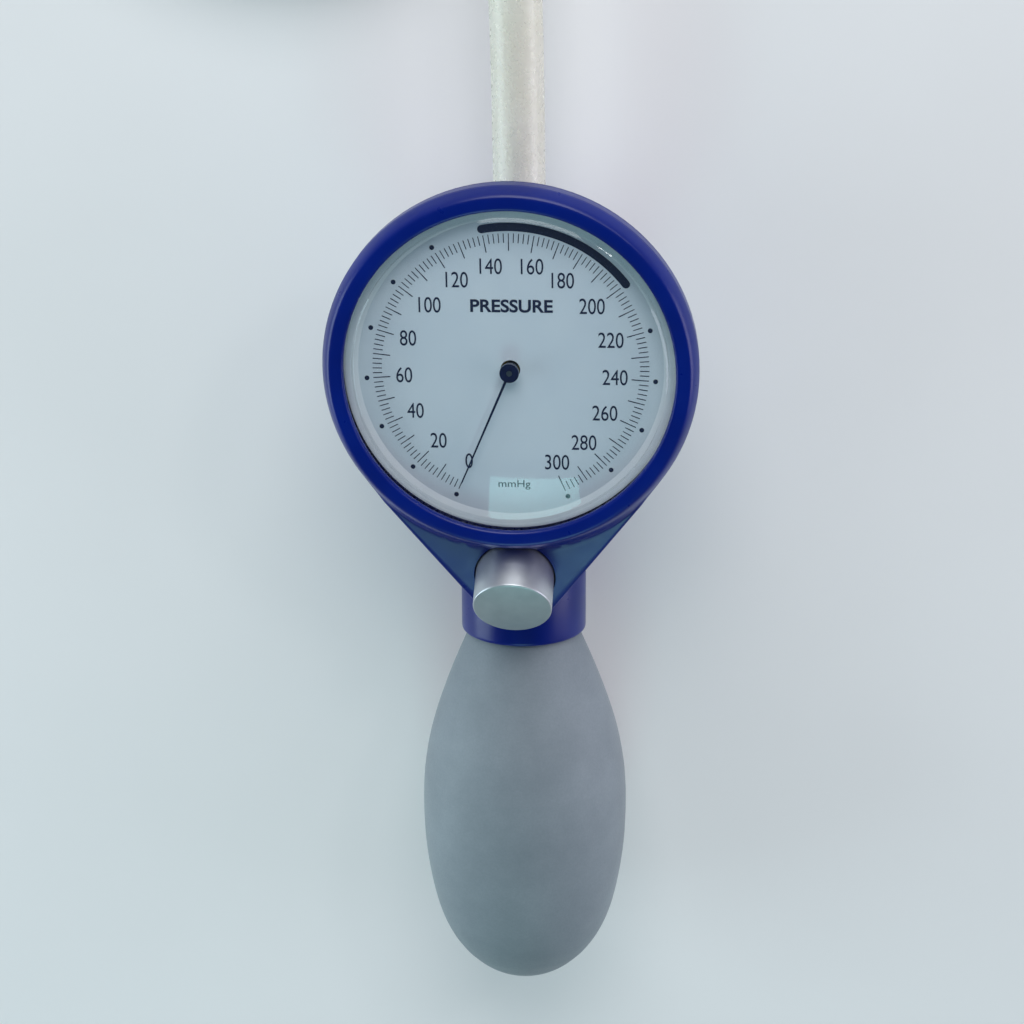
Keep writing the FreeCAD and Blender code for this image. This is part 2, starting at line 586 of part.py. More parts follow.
def makeManifold():
    half = size("blockHalf")
    start = size("blockStart")
    low = size("blockLow")
    top = size("basePlate")
    end = size("blockEnd")
    block = Part.makeBox(2 * half, start + end, top - low, V(-half, -start, low))
    boss = buttonRod(5.0, 13.0, 21.0)
    block = block.fuse(boss)
    block = block.cut(rod(size("channelRadius"), V(0, -start, channelHeight), V(0, end + 1, channelHeight)))
    block = block.cut(neckRod(size("insertShank"), -9.6, 0))
    block = block.cut(rod(4.0, V(0, end - 6, channelHeight), V(0, end + 1, channelHeight)))
    block = block.cut(Part.makeCylinder(1.9, 10, V(0, 0, channelHeight + 1)))
    block = block.cut(Part.makeCylinder(0.8, 3, V(0, 0, channelHeight - 1)))
    block = block.cut(buttonRod(size("guideRadius"), 5, size("seatDepth")))
    block = block.cut(buttonRod(3.0, 5, size("seatDepth") + 4.6))
    for spot in blockScrews:
        block = block.cut(Part.makeCylinder(0.95, 4.5, spot + V(0, 0, top - 3.5)))
    return block.removeSplitter()


featured("air_manifold", makeManifold())
turned("release_guide", [
    ("1.6", "-seatDepth"), ("guideRadius", "-seatDepth"), ("guideRadius", "-guideTop"),
    ("1.6", "-guideTop")], buttonPlace)
turned("push_button", [
    ("stemRadius", "-buttonSunk"), ("2.6", "-buttonSunk"), ("2.6", "buttonProud - 3.1"),
    ("buttonRadius - 1.6", "buttonProud - 3.1"), ("buttonRadius - 1.6", "-buttonSunk"),
    ("buttonRadius", "-buttonSunk"), ("buttonRadius", "buttonProud - 0.35"),
    ("buttonRadius - 0.35", "buttonProud"), ("0", "buttonProud"), ("0", "buttonProud - 2.6"),
    ("stemRadius", "buttonProud - 2.6")], buttonPlace)
turned("button_stem", [
    ("0", "-seatDepth - 1.2"), ("stemRadius - 0.4", "-seatDepth - 1.2"),
    ("stemRadius - 0.4", "-seatDepth + 0.5"), ("stemRadius", "-seatDepth + 0.9"),
    ("stemRadius", "buttonProud - 2.6"), ("0", "buttonProud - 2.6")], buttonPlace)
turned("release_poppet", [
    ("stemRadius - 0.4", "-seatDepth - 1.5"), ("2.4", "-seatDepth - 1.5"),
    ("2.4", "-seatDepth - 0.03"), ("stemRadius - 0.4", "-seatDepth - 0.03")], buttonPlace)


def makeSpring(radius, wire, low, high, turns):
    """Coil spring of round wire, in short straight lengths."""
    steps = 12 * turns
    rise = (high - low - wire) / steps
    points = [V(radius * math.cos(math.pi * k / 6), radius * math.sin(math.pi * k / 6),
                low + wire / 2 + rise * k) for k in range(steps + 1)]
    ends = Part.Circle(points[0], points[1] - points[0], wire / 2)
    return Part.makePolygon(points).makePipeShell([Part.Wire([ends.toShape()])], True, False, 1)


featured("button_spring", makeSpring(4.1, 0.5, -size("wellDepth") + 0.02, size("buttonProud") - 3.15, 6),
         buttonFrame)

# ---- neck, bulb and its two valves ----
turned("bulb_collar", [
    ("collarBore", "0"), ("collarRadius", "0"), ("collarRadius", "collarLength - 1.1"),
    ("collarRadius - 0.35", "collarLength - 0.3"), ("collarRadius - 1.1", "collarLength"),
    ("collarBore", "collarLength")], neckPlace)
turned("bulb_insert", [
    ("1.6", "-9.5"), ("insertShank", "-9.5"), ("insertShank", "0.2"), ("neckBore", "0.2"),
    ("neckBore", "13"), ("4.6", "13"), ("4.6", "6"), ("1.6", "6")], neckPlace)
turned("insert_seal", [
    ("insertShank + 0.1", "0.02"), ("collarBore - 0.2", "0.02"), ("collarBore - 0.2", "0.18"),
    ("insertShank + 0.1", "0.18")], neckPlace)
turned("outlet_disc", [
    ("0", "6.05"), ("4.0", "6.05"), ("4.0", "7.05"), ("0", "7.05")], neckPlace)
turned("outlet_seat", [
    ("1.8", "7.85"), ("4.6", "7.85"), ("4.6", "12.0"), ("3.0", "12.0"), ("3.0", "9.0"), ("1.8", "9.0")],
    neckPlace)


def bulbProfile(shrink, first, last):
    """Half outline of the egg-shaped bulb: (share of length, share of largest radius)."""
    shares = [(0.0, 0.523), (0.1, 0.681), (0.2, 0.818), (0.3, 0.924), (0.4, 0.984), (0.5, 1.0),
              (0.65, 0.966), (0.8, 0.851), (0.9, 0.665), (0.96, 0.445), (1.0, 0.0)]
    length = last - first
    widest = size("bulbRadius") - shrink
    points = [V(max(widest * wide - (0 if along else shrink * 0.5), 0), 0, first + length * along)
              for along, wide in shares]
    line = Part.BSplineCurve()
    line.interpolate(Points=points, InitialTangent=V(0.43, 0, 1), FinalTangent=V(-1, 0, 0))
    return line, points


def bulbSolid(shrink, first, last):
    line, points = bulbProfile(shrink, first, last)
    wire = Part.Wire([line.toShape(), Part.makeLine(points[-1], V(0, 0, first)),
                      Part.makeLine(V(0, 0, first), points[0])])
    return Part.Face(wire).revolve(V(0, 0, 0), V(0, 0, 1), 360)


bulbStart = size("collarLength") + 0.1
bulbEnd = size("collarLength") + size("bulbLength")


def makeBulb():
    wall = size("bulbWall")
    outer = bulbSolid(0, bulbStart, bulbEnd)
    outer = outer.fuse(Part.makeCylinder(size("collarBore") - 0.15, bulbStart - 0.2, V(0, 0, 0.4)))
    hollow = bulbSolid(wall, bulbStart + 1.5, bulbEnd - wall)
    hollow = hollow.fuse(Part.makeCylinder(size("neckBore"), bulbStart + 2.5, V(0, 0, 0)))
    outer = outer.cut(hollow)
    boss = Part.makeCylinder(6.2, 8.0, V(0, 0, bulbEnd - 10.0)).common(bulbSolid(0, bulbStart, bulbEnd))
    return outer.fuse(boss).cut(Part.makeCylinder(4.5, 12, V(0, 0, bulbEnd - 11.0))).removeSplitter()


featured("bulb", makeBulb(), neckFrame)
turned("inlet_valve_body", [
    ("1.2", "collarLength + bulbLength - 10"), ("4.5", "collarLength + bulbLength - 10"),
    ("4.5", "collarLength + bulbLength - 2.2"), ("2.1", "collarLength + bulbLength - 2.2"),
    ("2.1", "collarLength + bulbLength - 8.5"), ("1.2", "collarLength + bulbLength - 8.5")], neckPlace)


def makeInletGrille():
    top = bulbEnd - 1.0
    cap = Part.makeCylinder(4.4, 1.2, V(0, 0, top - 1.2))
    for index in range(4):
        angle = math.radians(45 + 90 * index)
        cap = cap.cut(Part.makeCylinder(0.6, 5, V(2.3 * math.cos(angle), 2.3 * math.sin(angle), top - 3)))
    return cap.cut(Part.makeCylinder(0.7, 5, V(0, 0, top - 3)))


featured("inlet_grille", makeInletGrille(), neckFrame)
ballRadius = 2.0
ballMiddle = bulbEnd - 8.5 + ballRadius + 0.05
featured("inlet_ball", Part.makeSphere(ballRadius, V(0, 0, ballMiddle)), neckFrame)
turned("inlet_stop", [
    ("0.9", "collarLength + bulbLength - 3.6"), ("2.0", "collarLength + bulbLength - 3.6"),
    ("2.0", "collarLength + bulbLength - 2.2"), ("0.9", "collarLength + bulbLength - 2.2")], neckPlace)

# ---- hose outlet ----
turned("hose_nipple", [
    ("0.8", "blockEnd - 5.8"), ("3.95", "blockEnd - 5.8"), ("3.95", "shoulderEnd - 3.6"),
    ("5.2", "shoulderEnd - 3.6"), ("5.2", "shoulderEnd"), ("1.8", "shoulderEnd"),
    ("2.3", "shoulderEnd + 2.5"), ("1.8", "shoulderEnd + 4.5"), ("2.3", "shoulderEnd + 7"),
    ("1.8", "shoulderEnd + 9"), ("2.2", "shoulderEnd + 10"), ("1.5", "shoulderEnd + 12"),
    ("0.8", "shoulderEnd + 12")], hosePlace)
turned("nipple_seal", [
    ("4.0", "blockEnd + 0.1"), ("4.45", "blockEnd + 0.1"), ("4.45", "blockEnd + 1.1"),
    ("4.0", "blockEnd + 1.1")], hosePlace)

# ---- hose: a short free run, then a coil lying on the table ----
hoseRoute = [(0, size("shoulderEnd"), size("channelHeight")), (0, 49, 15.55), (-0.4, 66, 15.9),
             (-0.6, 82, 15.8), (-0.5, 95, 14.2), (-0.2, 107, 10.0), (0, 119, 6.2), (-1.05, 131, 4.75)]


def hosePath(route):
    """Straight runs joined by arcs as large as the runs allow."""
    points = [V(*point) for point in route]
    edges = []
    start = points[0]
    for before, corner, after in zip(points, points[1:], points[2:]):
        into = (corner - before).normalize()
        out = (after - corner).normalize()
        half = into.getAngle(out) / 2
        cut = 0.45 * min((corner - before).Length, (after - corner).Length)
        radius = cut / math.tan(half)
        print("hose arc radius %.1f" % radius)
        first = corner - into * cut
        last = corner + out * cut
        bulge = (out - into).normalize()
        middle = corner + bulge * (radius / math.cos(half) - radius)
        edges.append(Part.makeLine(start, first))
        edges.append(Part.Arc(first, middle, last).toShape())
        start = last
    edges.append(Part.makeLine(start, points[-1]))
    return Part.Wire(edges)


hoseRadius = size("hoseDiameter") / 2
path = hosePath(hoseRoute)
startDirection = V(*hoseRoute[1]) - V(*hoseRoute[0])
section = Part.Wire([Part.Circle(V(*hoseRoute[0]), startDirection, hoseRadius).toShape()])
tube = path.makePipeShell([section], True, False)
barVolume = math.pi * hoseRadius ** 2 * path.Length
print("hose tube volume / (section x length) %.4f" % (tube.Volume / barVolume))
featured("hose_tube", tube)


def makeCoil():
    """One and a half turns, side by side on the table, opening out by a diameter a turn."""
    inner = size("coilRadius")
    step = size("coilStep")
    y = size("coilPlace")
    top = size("hoseDiameter")
    farCentre = V(-inner, y, 0)
    nearCentre = V(-inner + step, y, 0)
    wide = [(inner - hoseRadius, 0.3 * top), (inner - 0.3 * top, 0), (inner + 2 * step + 0.3 * top, 0),
            (inner + 2 * step + hoseRadius, 0.3 * top), (inner + 2 * step + hoseRadius, 0.7 * top),
            (inner + 2 * step + 0.3 * top, top), (inner - 0.3 * top, top), (inner - hoseRadius, 0.7 * top)]
    outline = [farCentre + V(x, 0, z) for x, z in wide]
    far = Part.Face(Part.makePolygon(outline + outline[:1])).revolve(farCentre, V(0, 0, 1), 180)
    section = Part.Circle(nearCentre + V(inner + step, 0, hoseRadius), V(0, 1, 0), hoseRadius)
    near = Part.Face(Part.Wire([section.toShape()])).revolve(nearCentre, V(0, 0, 1), -180)
    print("hose length %.0f" % (path.Length + math.pi * 3 * (inner + step)))
    return far.fuse(near).removeSplitter()


featured("hose_coil", makeCoil())

# ---- connector on the hose's end, pointing back along -Y ----
connectorPlace = {"x": "-2 * coilRadius - 2 * coilStep", "y": "coilPlace - 0.05", "z": "connectorHeight",
                  "tilt": "90"}
turned("hose_ferrule", [
    ("5.0", "0"), ("6.0", "0"), ("6.0", "10"), ("5.0", "10")], connectorPlace)
turned("connector_body", [
    ("3.0", "0"), ("4.95", "0"), ("4.95", "10"), ("6.2", "10"), ("6.2", "17"), ("4.6", "17"), ("4.6", "33"),
    ("3.0", "33")], connectorPlace)
turned("connector_seal", [
    ("4.65", "31"), ("5.3", "31"), ("5.3", "32.6"), ("4.65", "32.6")], connectorPlace)
turned("connector_ring", [
    ("4.65", "18"), ("connectorRadius", "18"), ("connectorRadius", "28"), ("6.4", "29"), ("6.4", "37"),
    ("5.5", "37"), ("5.5", "29"), ("4.65", "29")], connectorPlace)

# ---- check and write ----
doc.recompute()
for item in doc.Objects:
    if "Invalid" in item.State or "Error" in item.State:
        raise RuntimeError("%s is %s" % (item.Label, item.State))
nodes = [item for item in doc.Objects
         if item.TypeId == "PartDesign::Body"
         or (item.TypeId.startswith("Part::") and not item.getParentGeoFeatureGroup())]
os.makedirs("parts", exist_ok=True)
for item in nodes:
    if item.Shape.isNull() or not item.Shape.isValid():
        raise RuntimeError("%s has no valid shape" % item.Label)
for item in nodes:
    item.Shape.exportStep("parts/%s.step" % item.Label)
    print("%-18s %9.2f mm3, %d solid(s)" % (item.Label, item.Shape.Volume, len(item.Shape.Solids)))
print(len(nodes), "nodes")
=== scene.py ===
import math

import bmesh
import bpy
from mathutils import Matrix, Vector


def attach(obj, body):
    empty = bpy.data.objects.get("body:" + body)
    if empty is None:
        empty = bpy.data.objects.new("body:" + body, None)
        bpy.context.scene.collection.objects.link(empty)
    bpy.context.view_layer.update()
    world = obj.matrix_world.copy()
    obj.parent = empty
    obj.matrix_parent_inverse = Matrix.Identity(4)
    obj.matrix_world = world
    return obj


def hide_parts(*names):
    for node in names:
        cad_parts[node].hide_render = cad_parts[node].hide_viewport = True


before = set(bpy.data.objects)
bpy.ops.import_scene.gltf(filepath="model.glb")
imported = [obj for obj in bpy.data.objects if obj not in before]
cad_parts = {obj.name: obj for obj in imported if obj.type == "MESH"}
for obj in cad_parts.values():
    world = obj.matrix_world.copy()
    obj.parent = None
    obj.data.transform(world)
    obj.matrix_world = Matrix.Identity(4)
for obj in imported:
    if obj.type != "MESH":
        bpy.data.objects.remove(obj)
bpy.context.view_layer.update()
mm = 0.001
scene = bpy.context.scene
scene.view_settings.view_transform = "Standard"


# ---- small helpers ----
def linear(hexColour):
    # sRGB hex to the linear colour that nodes want
    parts = [int(hexColour[i:i + 2], 16) / 255 for i in (1, 3, 5)]
    return tuple(c / 12.92 if c <= 0.04045 else ((c + 0.055) / 1.055) ** 2.4 for c in parts) + (1.0,)


def addNode(tree, kind, inputs=None, **settings):
    # inputs are values or sockets to link, by input name or number
    node = tree.nodes.new(kind)
    for name, setting in settings.items():
        setattr(node, name, setting)
    for name, value in (inputs or {}).items():
        if isinstance(value, bpy.types.NodeSocket):
            tree.links.new(value, node.inputs[name])
        else:
            node.inputs[name].default_value = value
    return node


def newPiece(name, mesh, body):
    piece = bpy.data.objects.new(name, mesh)
    scene.collection.objects.link(piece)
    if body:
        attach(piece, body)
    return piece


def meshFrom(bm, name, sharp=32.0):
    # bmesh to mesh, smooth shaded with real edges kept crisp
    for face in bm.faces:
        face.smooth = True
    for edge in bm.edges:
        edge.smooth = len(edge.link_faces) == 2 and edge.calc_face_angle(0) < math.radians(sharp)
    mesh = bpy.data.meshes.new(name)
    bm.to_mesh(mesh)
    bm.free()
    return mesh


def baked(piece, name, place=None):
    # the evaluated shape of a piece as one plain mesh, set in its place
    graph = bpy.context.evaluated_depsgraph_get()
    mesh = bpy.data.meshes.new_from_object(piece.evaluated_get(graph))
    mesh.name = name
    if place:
        mesh.transform(place)
    return mesh


def turned(name, outline, body, place=None, steps=128):
    # revolve a closed (radius, height) outline in mm about its own Z
    bm = bmesh.new()
    rings = []
    for step in range(steps):
        angle = 2 * math.pi * step / steps
        cos, sin = math.cos(angle), math.sin(angle)
        rings.append([bm.verts.new((r * mm * cos, r * mm * sin, z * mm)) for r, z in outline])
    count = len(outline)
    for step in range(steps):
        here, there = rings[step], rings[(step + 1) % steps]
        for k in range(count):
            j = (k + 1) % count
            if outline[k][0] or outline[j][0]:
                bm.faces.new((here[k], there[k], there[j], here[j]))
    bmesh.ops.remove_doubles(bm, verts=bm.verts, dist=1e-7)
    bmesh.ops.dissolve_degenerate(bm, edges=bm.edges, dist=1e-8)
    bmesh.ops.recalc_face_normals(bm, faces=bm.faces)
    mesh = meshFrom(bm, name)
    if place:
        mesh.transform(place)
    return newPiece(name, mesh, body)


def rounded(points, radius=0.3, steps=3):
    # the outline with each corner given a small moulded or turned radius
    outline = []
    count = len(points)
    for k in range(count):
        before, here, after = (Vector(points[i % count]) for i in (k - 1, k, k + 1))
        toBefore, toAfter = before - here, after - here
        cut = min(radius, 0.4 * toBefore.length, 0.4 * toAfter.length)
        if here.x < 1e-6 or cut < 1e-3:
            outline.append(tuple(here))
            continue
        first, last = here + toBefore.normalized() * cut, here + toAfter.normalized() * cut
        for step in range(steps + 1):
            t = step / steps
            outline.append(tuple(first * (1 - t) ** 2 + here * 2 * t * (1 - t) + last * t ** 2))
    return outline


def tiltedPlace(y, z, tilt):
    return Matrix.Translation((0, y * mm, z * mm)) @ Matrix.Rotation(math.radians(tilt), 4, "X")


# ---- camera ----
camera = bpy.data.objects.new("camera", bpy.data.cameras.new("camera"))
scene.collection.objects.link(camera)
camera.data.lens = 72.88
camera.data.sensor_width = 36.0
camera.data.clip_start = 0.01
camera.matrix_world = Matrix((
    (0.9959, -0.0192, 0.0887, 0.0330),
    (-0.0138, 0.9339, 0.3573, 0.1065),
    (-0.0897, -0.3570, 0.9298, 0.3846),
    (0, 0, 0, 1)))
scene.camera = camera
print("camera set")

# ---- materials ----
materials = {}


def newMaterial(name):
    material = bpy.data.materials.new(name)
    material.use_nodes = True
    tree = material.node_tree
    tree.nodes.clear()
    output = addNode(tree, "ShaderNodeOutputMaterial")
    shader = addNode(tree, "ShaderNodeBsdfPrincipled")
    tree.links.new(shader.outputs[0], output.inputs[0])
    materials[name] = material
    return material, tree, shader


def grain(tree, size, detail=2.0, roughness=0.5, vector=None):
    # noise whose blotches measure about size millimetres
    where = vector or addNode(tree, "ShaderNodeTexCoord").outputs["Object"]
    return addNode(tree, "ShaderNodeTexNoise", {
        "Vector": where, "Scale": 1.0 / (size * mm), "Detail": detail, "Roughness": roughness}).outputs[0]


def ramp(tree, factor, stops):
    node = addNode(tree, "ShaderNodeValToRGB", {"Fac": factor})
    node.color_ramp.elements[0].position = stops[0][0]
    node.color_ramp.elements[0].color = linear(stops[0][1])
    node.color_ramp.elements[1].position = stops[-1][0]
    node.color_ramp.elements[1].color = linear(stops[-1][1])
    for position, colour in stops[1:-1]:
        node.color_ramp.elements.new(position).color = linear(colour)
    return node.outputs["Color"]


def span(tree, factor, low, high):
    node = addNode(tree, "ShaderNodeMapRange", {"Value": factor, "To Min": low, "To Max": high})
    return node.outputs["Result"]


def bump(tree, height, strength, depth):
    # depth is the relief's real height in millimetres
    return addNode(tree, "ShaderNodeBump", {
        "Height": height, "Strength": strength, "Distance": depth * mm}).outputs["Normal"]


def dress(shader, **values):
    for name, value in values.items():
        socket = shader.inputs[name.replace("_", " ").title().replace("Ior", "IOR")]
        if isinstance(value, bpy.types.NodeSocket):
            shader.id_data.links.new(value, socket)
        else:
            socket.default_value = value


def makeBlueAbs():
    # ABS, injection moulded against a polished tool: deep blue, glossy, with faint flow and dust
    material, tree, shader = newMaterial("blueAbs")
    flow = grain(tree, 14.0, 3.0)
    specks = grain(tree, 0.5, 3.0, 0.7)
    colour = ramp(tree, flow, [(0.3, "#00176C"), (0.7, "#001D7A")])
    dusted = addNode(tree, "ShaderNodeMix", {
        0: span(tree, ramp(tree, specks, [(0.68, "#000000"), (0.8, "#FFFFFF")]), 0.0, 0.08),
        6: colour, 7: linear("#3C5FB0")}, data_type="RGBA")
    dress(shader, base_color=dusted.outputs[2],
        roughness=span(tree, grain(tree, 2.5, 4.0), 0.24, 0.36),
        normal=bump(tree, grain(tree, 0.35, 2.0), 0.35, 0.01), ior=1.53, specular_ior_level=0.3)
    return material


def makeGreyRubber():
    # moulded elastomer from a fine-blasted tool: matt, soft grain, a powdery bloom
    material, tree, shader = newMaterial("greyRubber")
    blotch = grain(tree, 9.0, 4.0, 0.6)
    pores = grain(tree, 0.42, 3.0, 0.7)
    base = ramp(tree, blotch, [(0.3, "#7C868E"), (0.7, "#88929A")])
    dotted = addNode(tree, "ShaderNodeMix", {
        0: span(tree, pores, 0.0, 0.5), 6: base, 7: linear("#67727A")}, data_type="RGBA")
    dress(shader, base_color=dotted.outputs[2],
        roughness=span(tree, pores, 0.52, 0.74),
        normal=bump(tree, pores, 0.55, 0.05), ior=1.5,
        sheen_weight=0.15, sheen_roughness=0.45)
    return material


def makeClearLens():
    # polished acrylic: mirrors a little, more at a glance, and shows the dial as it is
    material = bpy.data.materials.new("clearAcrylic")
    material.use_nodes = True
    tree = material.node_tree
    tree.nodes.clear()
    through = addNode(tree, "ShaderNodeBsdfTransparent", {"Color": (0.97, 0.985, 0.99, 1)})
    shine = addNode(tree, "ShaderNodeBsdfGlossy", {"Roughness": 0.04})
    facing = addNode(tree, "ShaderNodeLayerWeight", {"Blend": 0.5}).outputs["Facing"]
    glance = addNode(tree, "ShaderNodeMath", {0: facing, 1: 5.0}, operation="POWER").outputs[0]
    mixed = addNode(tree, "ShaderNodeMixShader", {
        0: span(tree, glance, 0.04, 1.0), 1: through.outputs[0], 2: shine.outputs[0]})
    addNode(tree, "ShaderNodeOutputMaterial", {"Surface": mixed.outputs[0]})
    materials["clearAcrylic"] = material
    return material


def makeDialPaint():
    # aluminium dial, sprayed matt: pale cool grey with a very fine orange peel
    material, tree, shader = newMaterial("dialPaint")
    dress(shader, base_color=ramp(tree, grain(tree, 11.0, 3.0), [(0.3, "#D3DCE6"), (0.7, "#DAE2EA")]),
        roughness=span(tree, grain(tree, 0.8, 3.0), 0.42, 0.55),
        normal=bump(tree, grain(tree, 0.25, 2.0), 0.25, 0.006), ior=1.5)
    return material


def makeWhiteRing():
    # white polystyrene ring, moulded: satin
    material, tree, shader = newMaterial("whiteRing")
    dress(shader, base_color=ramp(tree, grain(tree, 7.0, 3.0), [(0.3, "#E4EAF0"), (0.7, "#ECF0F4")]),
        roughness=span(tree, grain(tree, 0.6, 3.0), 0.34, 0.46),
        normal=bump(tree, grain(tree, 0.4, 2.0), 0.2, 0.006), ior=1.5)
    return material


def makeInk():
    # screen-printed navy ink: dry edge, slight unevenness in the film
    material, tree, shader = newMaterial("navyInk")
    dress(shader, base_color=ramp(tree, grain(tree, 0.35, 3.0), [(0.3, "#141B38"), (0.7, "#1C2446")]),
        roughness=span(tree, grain(tree, 0.5, 2.0), 0.45, 0.6), ior=1.5)
    return material


def makeLacquer():
    # stamped brass pointer in dark navy lacquer: smooth with small highlights
    material, tree, shader = newMaterial("pointerLacquer")
    dress(shader, base_color=ramp(tree, grain(tree, 1.5, 2.0), [(0.3, "#0B1233"), (0.7, "#101A42")]),
        roughness=span(tree, grain(tree, 0.4, 2.0), 0.28, 0.4), ior=1.5, coat_weight=0.3, coat_roughness=0.2)
    return material


def roundWay(tree, place):
    # angle and height about a tilted axis, so that turning marks run round it
    where = addNode(tree, "ShaderNodeTexCoord").outputs["Object"]
    inverse = place.inverted()
    turn = inverse.to_euler()
    local = addNode(tree, "ShaderNodeMapping", {
        "Vector": where, "Location": inverse.to_translation(), "Rotation": turn})
    parts = addNode(tree, "ShaderNodeSeparateXYZ", {0: local.outputs[0]})
    x, y, z = (parts.outputs[i] for i in range(3))
    squareX = addNode(tree, "ShaderNodeMath", {0: x, 1: x}, operation="MULTIPLY").outputs[0]
    square = addNode(tree, "ShaderNodeMath", {0: y, 1: y, 2: squareX}, operation="MULTIPLY_ADD").outputs[0]
    radius = addNode(tree, "ShaderNodeMath", {0: square}, operation="SQRT").outputs[0]
    angle = addNode(tree, "ShaderNodeMath", {0: y, 1: x}, operation="ARCTAN2").outputs[0]
    small = addNode(tree, "ShaderNodeMath", {0: angle, 1: 0.0006}, operation="MULTIPLY").outputs[0]
    return addNode(tree, "ShaderNodeCombineXYZ", {0: radius, 1: small, 2: z}).outputs[0]


def makeTurnedMetal(name, colours, roughness, place, line=0.12, depth=0.004):
    # metal turned or satin-finished round an axis: fine rings, grain stretched along the cut
    material, tree, shader = newMaterial(name)
    ways = roundWay(tree, place)
    rings = grain(tree, line, 3.0, 0.6, ways)
    patch = grain(tree, 4.0, 3.0)
    dress(shader, base_color=ramp(tree, patch, [(0.3, colours[0]), (0.7, colours[1])]), metallic=1.0,
        roughness=span(tree, rings, *roughness), normal=bump(tree, rings, 0.4, depth))
    return material


def makeMetal(name, colours, roughness, line=0.3, stretch=(1, 12, 1)):
    # flat stock metal: rolled or blanked, faint lines along one way, small stains
    material, tree, shader = newMaterial(name)
    where = addNode(tree, "ShaderNodeTexCoord").outputs["Object"]
    drawn = addNode(tree, "ShaderNodeMapping", {"Vector": where, "Scale": tuple(1 / s for s in stretch)})
    lines = grain(tree, line, 3.0, 0.6, drawn.outputs[0])
    stains = grain(tree, 3.0, 4.0, 0.6)
    dress(shader, base_color=ramp(tree, stains, [(0.3, colours[0]), (0.7, colours[1])]), metallic=1.0,
        roughness=span(tree, lines, *roughness), normal=bump(tree, lines, 0.3, 0.004))
    return material


def makeSeal(name, colours, roughness):
    # compression-moulded rubber: matt with tiny pits
    material, tree, shader = newMaterial(name)
    pits = grain(tree, 0.2, 3.0, 0.7)
    dress(shader, base_color=ramp(tree, grain(tree, 2.0, 3.0), [(0.3, colours[0]), (0.7, colours[1])]),
        roughness=span(tree, pits, *roughness), normal=bump(tree, pits, 0.4, 0.01), ior=1.5)
    return material


def makeSilicone():
    # extruded silicone tube: milky, faintly yellow, soft gloss with drawn lines along it
    material, tree, shader = newMaterial("clearSilicone")
    cloud = grain(tree, 6.0, 3.0)
    dress(shader, base_color=ramp(tree, cloud, [(0.3, "#F3F1E2"), (0.7, "#F8F6EA")]),
        roughness=span(tree, grain(tree, 1.2, 3.0), 0.22, 0.34),
        normal=bump(tree, grain(tree, 0.8, 2.0), 0.2, 0.02), ior=1.41, transmission_weight=0.3)
    return material


def makeBore():
    # the tube's inside wall: the step from silicone to air, seen as two fine lines
    material, tree, shader = newMaterial("tubeBore")
    dress(shader, base_color=ramp(tree, grain(tree, 5.0, 2.0), [(0.3, "#F4F4F0"), (0.7, "#FAFAF6")]),
        roughness=span(tree, grain(tree, 0.9, 2.0), 0.06, 0.14), ior=0.71, transmission_weight=0.9)
    return material


buttonPlace = tiltedPlace(-40.8, 35.4, 31.8)
neckPlace = tiltedPlace(-46.0, 16.75, 90 - 4.29)
portPlace = Matrix.Translation((-0.1068, 0.12095, 0.0072)) @ Matrix.Rotation(math.radians(90), 4, "X")
blueAbs = makeBlueAbs()
greyRubber = makeGreyRubber()
clearAcrylic = makeClearLens()
dialPaint = makeDialPaint()
whiteRing = makeWhiteRing()
navyInk = makeInk()
pointerLacquer = makeLacquer()
satinAluminium = makeTurnedMetal("anodisedAluminium", ("#B9BEC4", "#C6CACF"), (0.34, 0.5), buttonPlace)
blockAluminium = makeMetal("milledAluminium", ("#A9ACB0", "#B7BABD"), (0.3, 0.5), 0.4)
brass = makeMetal("blankedBrass", ("#C79A45", "#D6AC58"), (0.24, 0.42))
steel = makeMetal("springSteel", ("#8C8F94", "#9EA1A6"), (0.22, 0.4))
screwSteel = makeMetal("zincPlatedSteel", ("#9FA3A8", "#B3B6BA"), (0.28, 0.45))
bronze = makeTurnedMetal("capsuleBronze", ("#B07A42", "#C28C50"), (0.28, 0.44), Matrix.Identity(4), 0.2)
nickel = makeTurnedMetal("nickelPlatedBrass", ("#B8B4A8", "#C8C5BA"), (0.16, 0.3), portPlace, 0.15, 0.002)
blackRubber = makeSeal("nitrileRubber", ("#141416", "#1E1E21"), (0.5, 0.7))
valveSilicone = makeSeal("valveSilicone", ("#D9D5CB", "#E4E1D8"), (0.4, 0.55))
silicone = makeSilicone()
tubeBore = makeBore()
slotFinish = {
    "blue_plastic": blueAbs, "screw_steel": screwSteel, "clear_lens": clearAcrylic,
    "black_rubber": blackRubber, "pale_ring": whiteRing, "dial_white": dialPaint, "brass": brass,
    "bronze_capsule": bronze, "steel": steel, "navy_pointer": pointerLacquer,
    "manifold_aluminium": blockAluminium, "button_aluminium": satinAluminium,
    "grey_elastomer": greyRubber, "valve_silicone": valveSilicone, "nickel_brass": nickel,
    "clear_silicone": silicone}
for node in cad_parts.values():
    for holder in node.material_slots:
        holder.material = slotFinish[holder.material.name.split(".")[0]]
print("materials made")

# ---- hose: out of the head, down to the table, one and a half turns, into its connector ----
hoseSizes = {
    "diameter": 0.0095, "length": 0.597, "bore": 0.00476,
    "run": [(0, 0.0266, 0.0155), (0, 0.049, 0.01555), (-0.0004, 0.066, 0.0159), (-0.0006, 0.082, 0.0158),
            (-0.0005, 0.095, 0.0142), (-0.0002, 0.107, 0.0100), (0, 0.119, 0.0062)],
    "coilCentre": 0.121, "coilRadius": 0.048, "coilStep": 0.0054, "lying": 0.00475,
    "perHalfTurn": 8, "lift": [0.0052, 0.0064], "end": (-0.1068, 0.12095, 0.0072)}


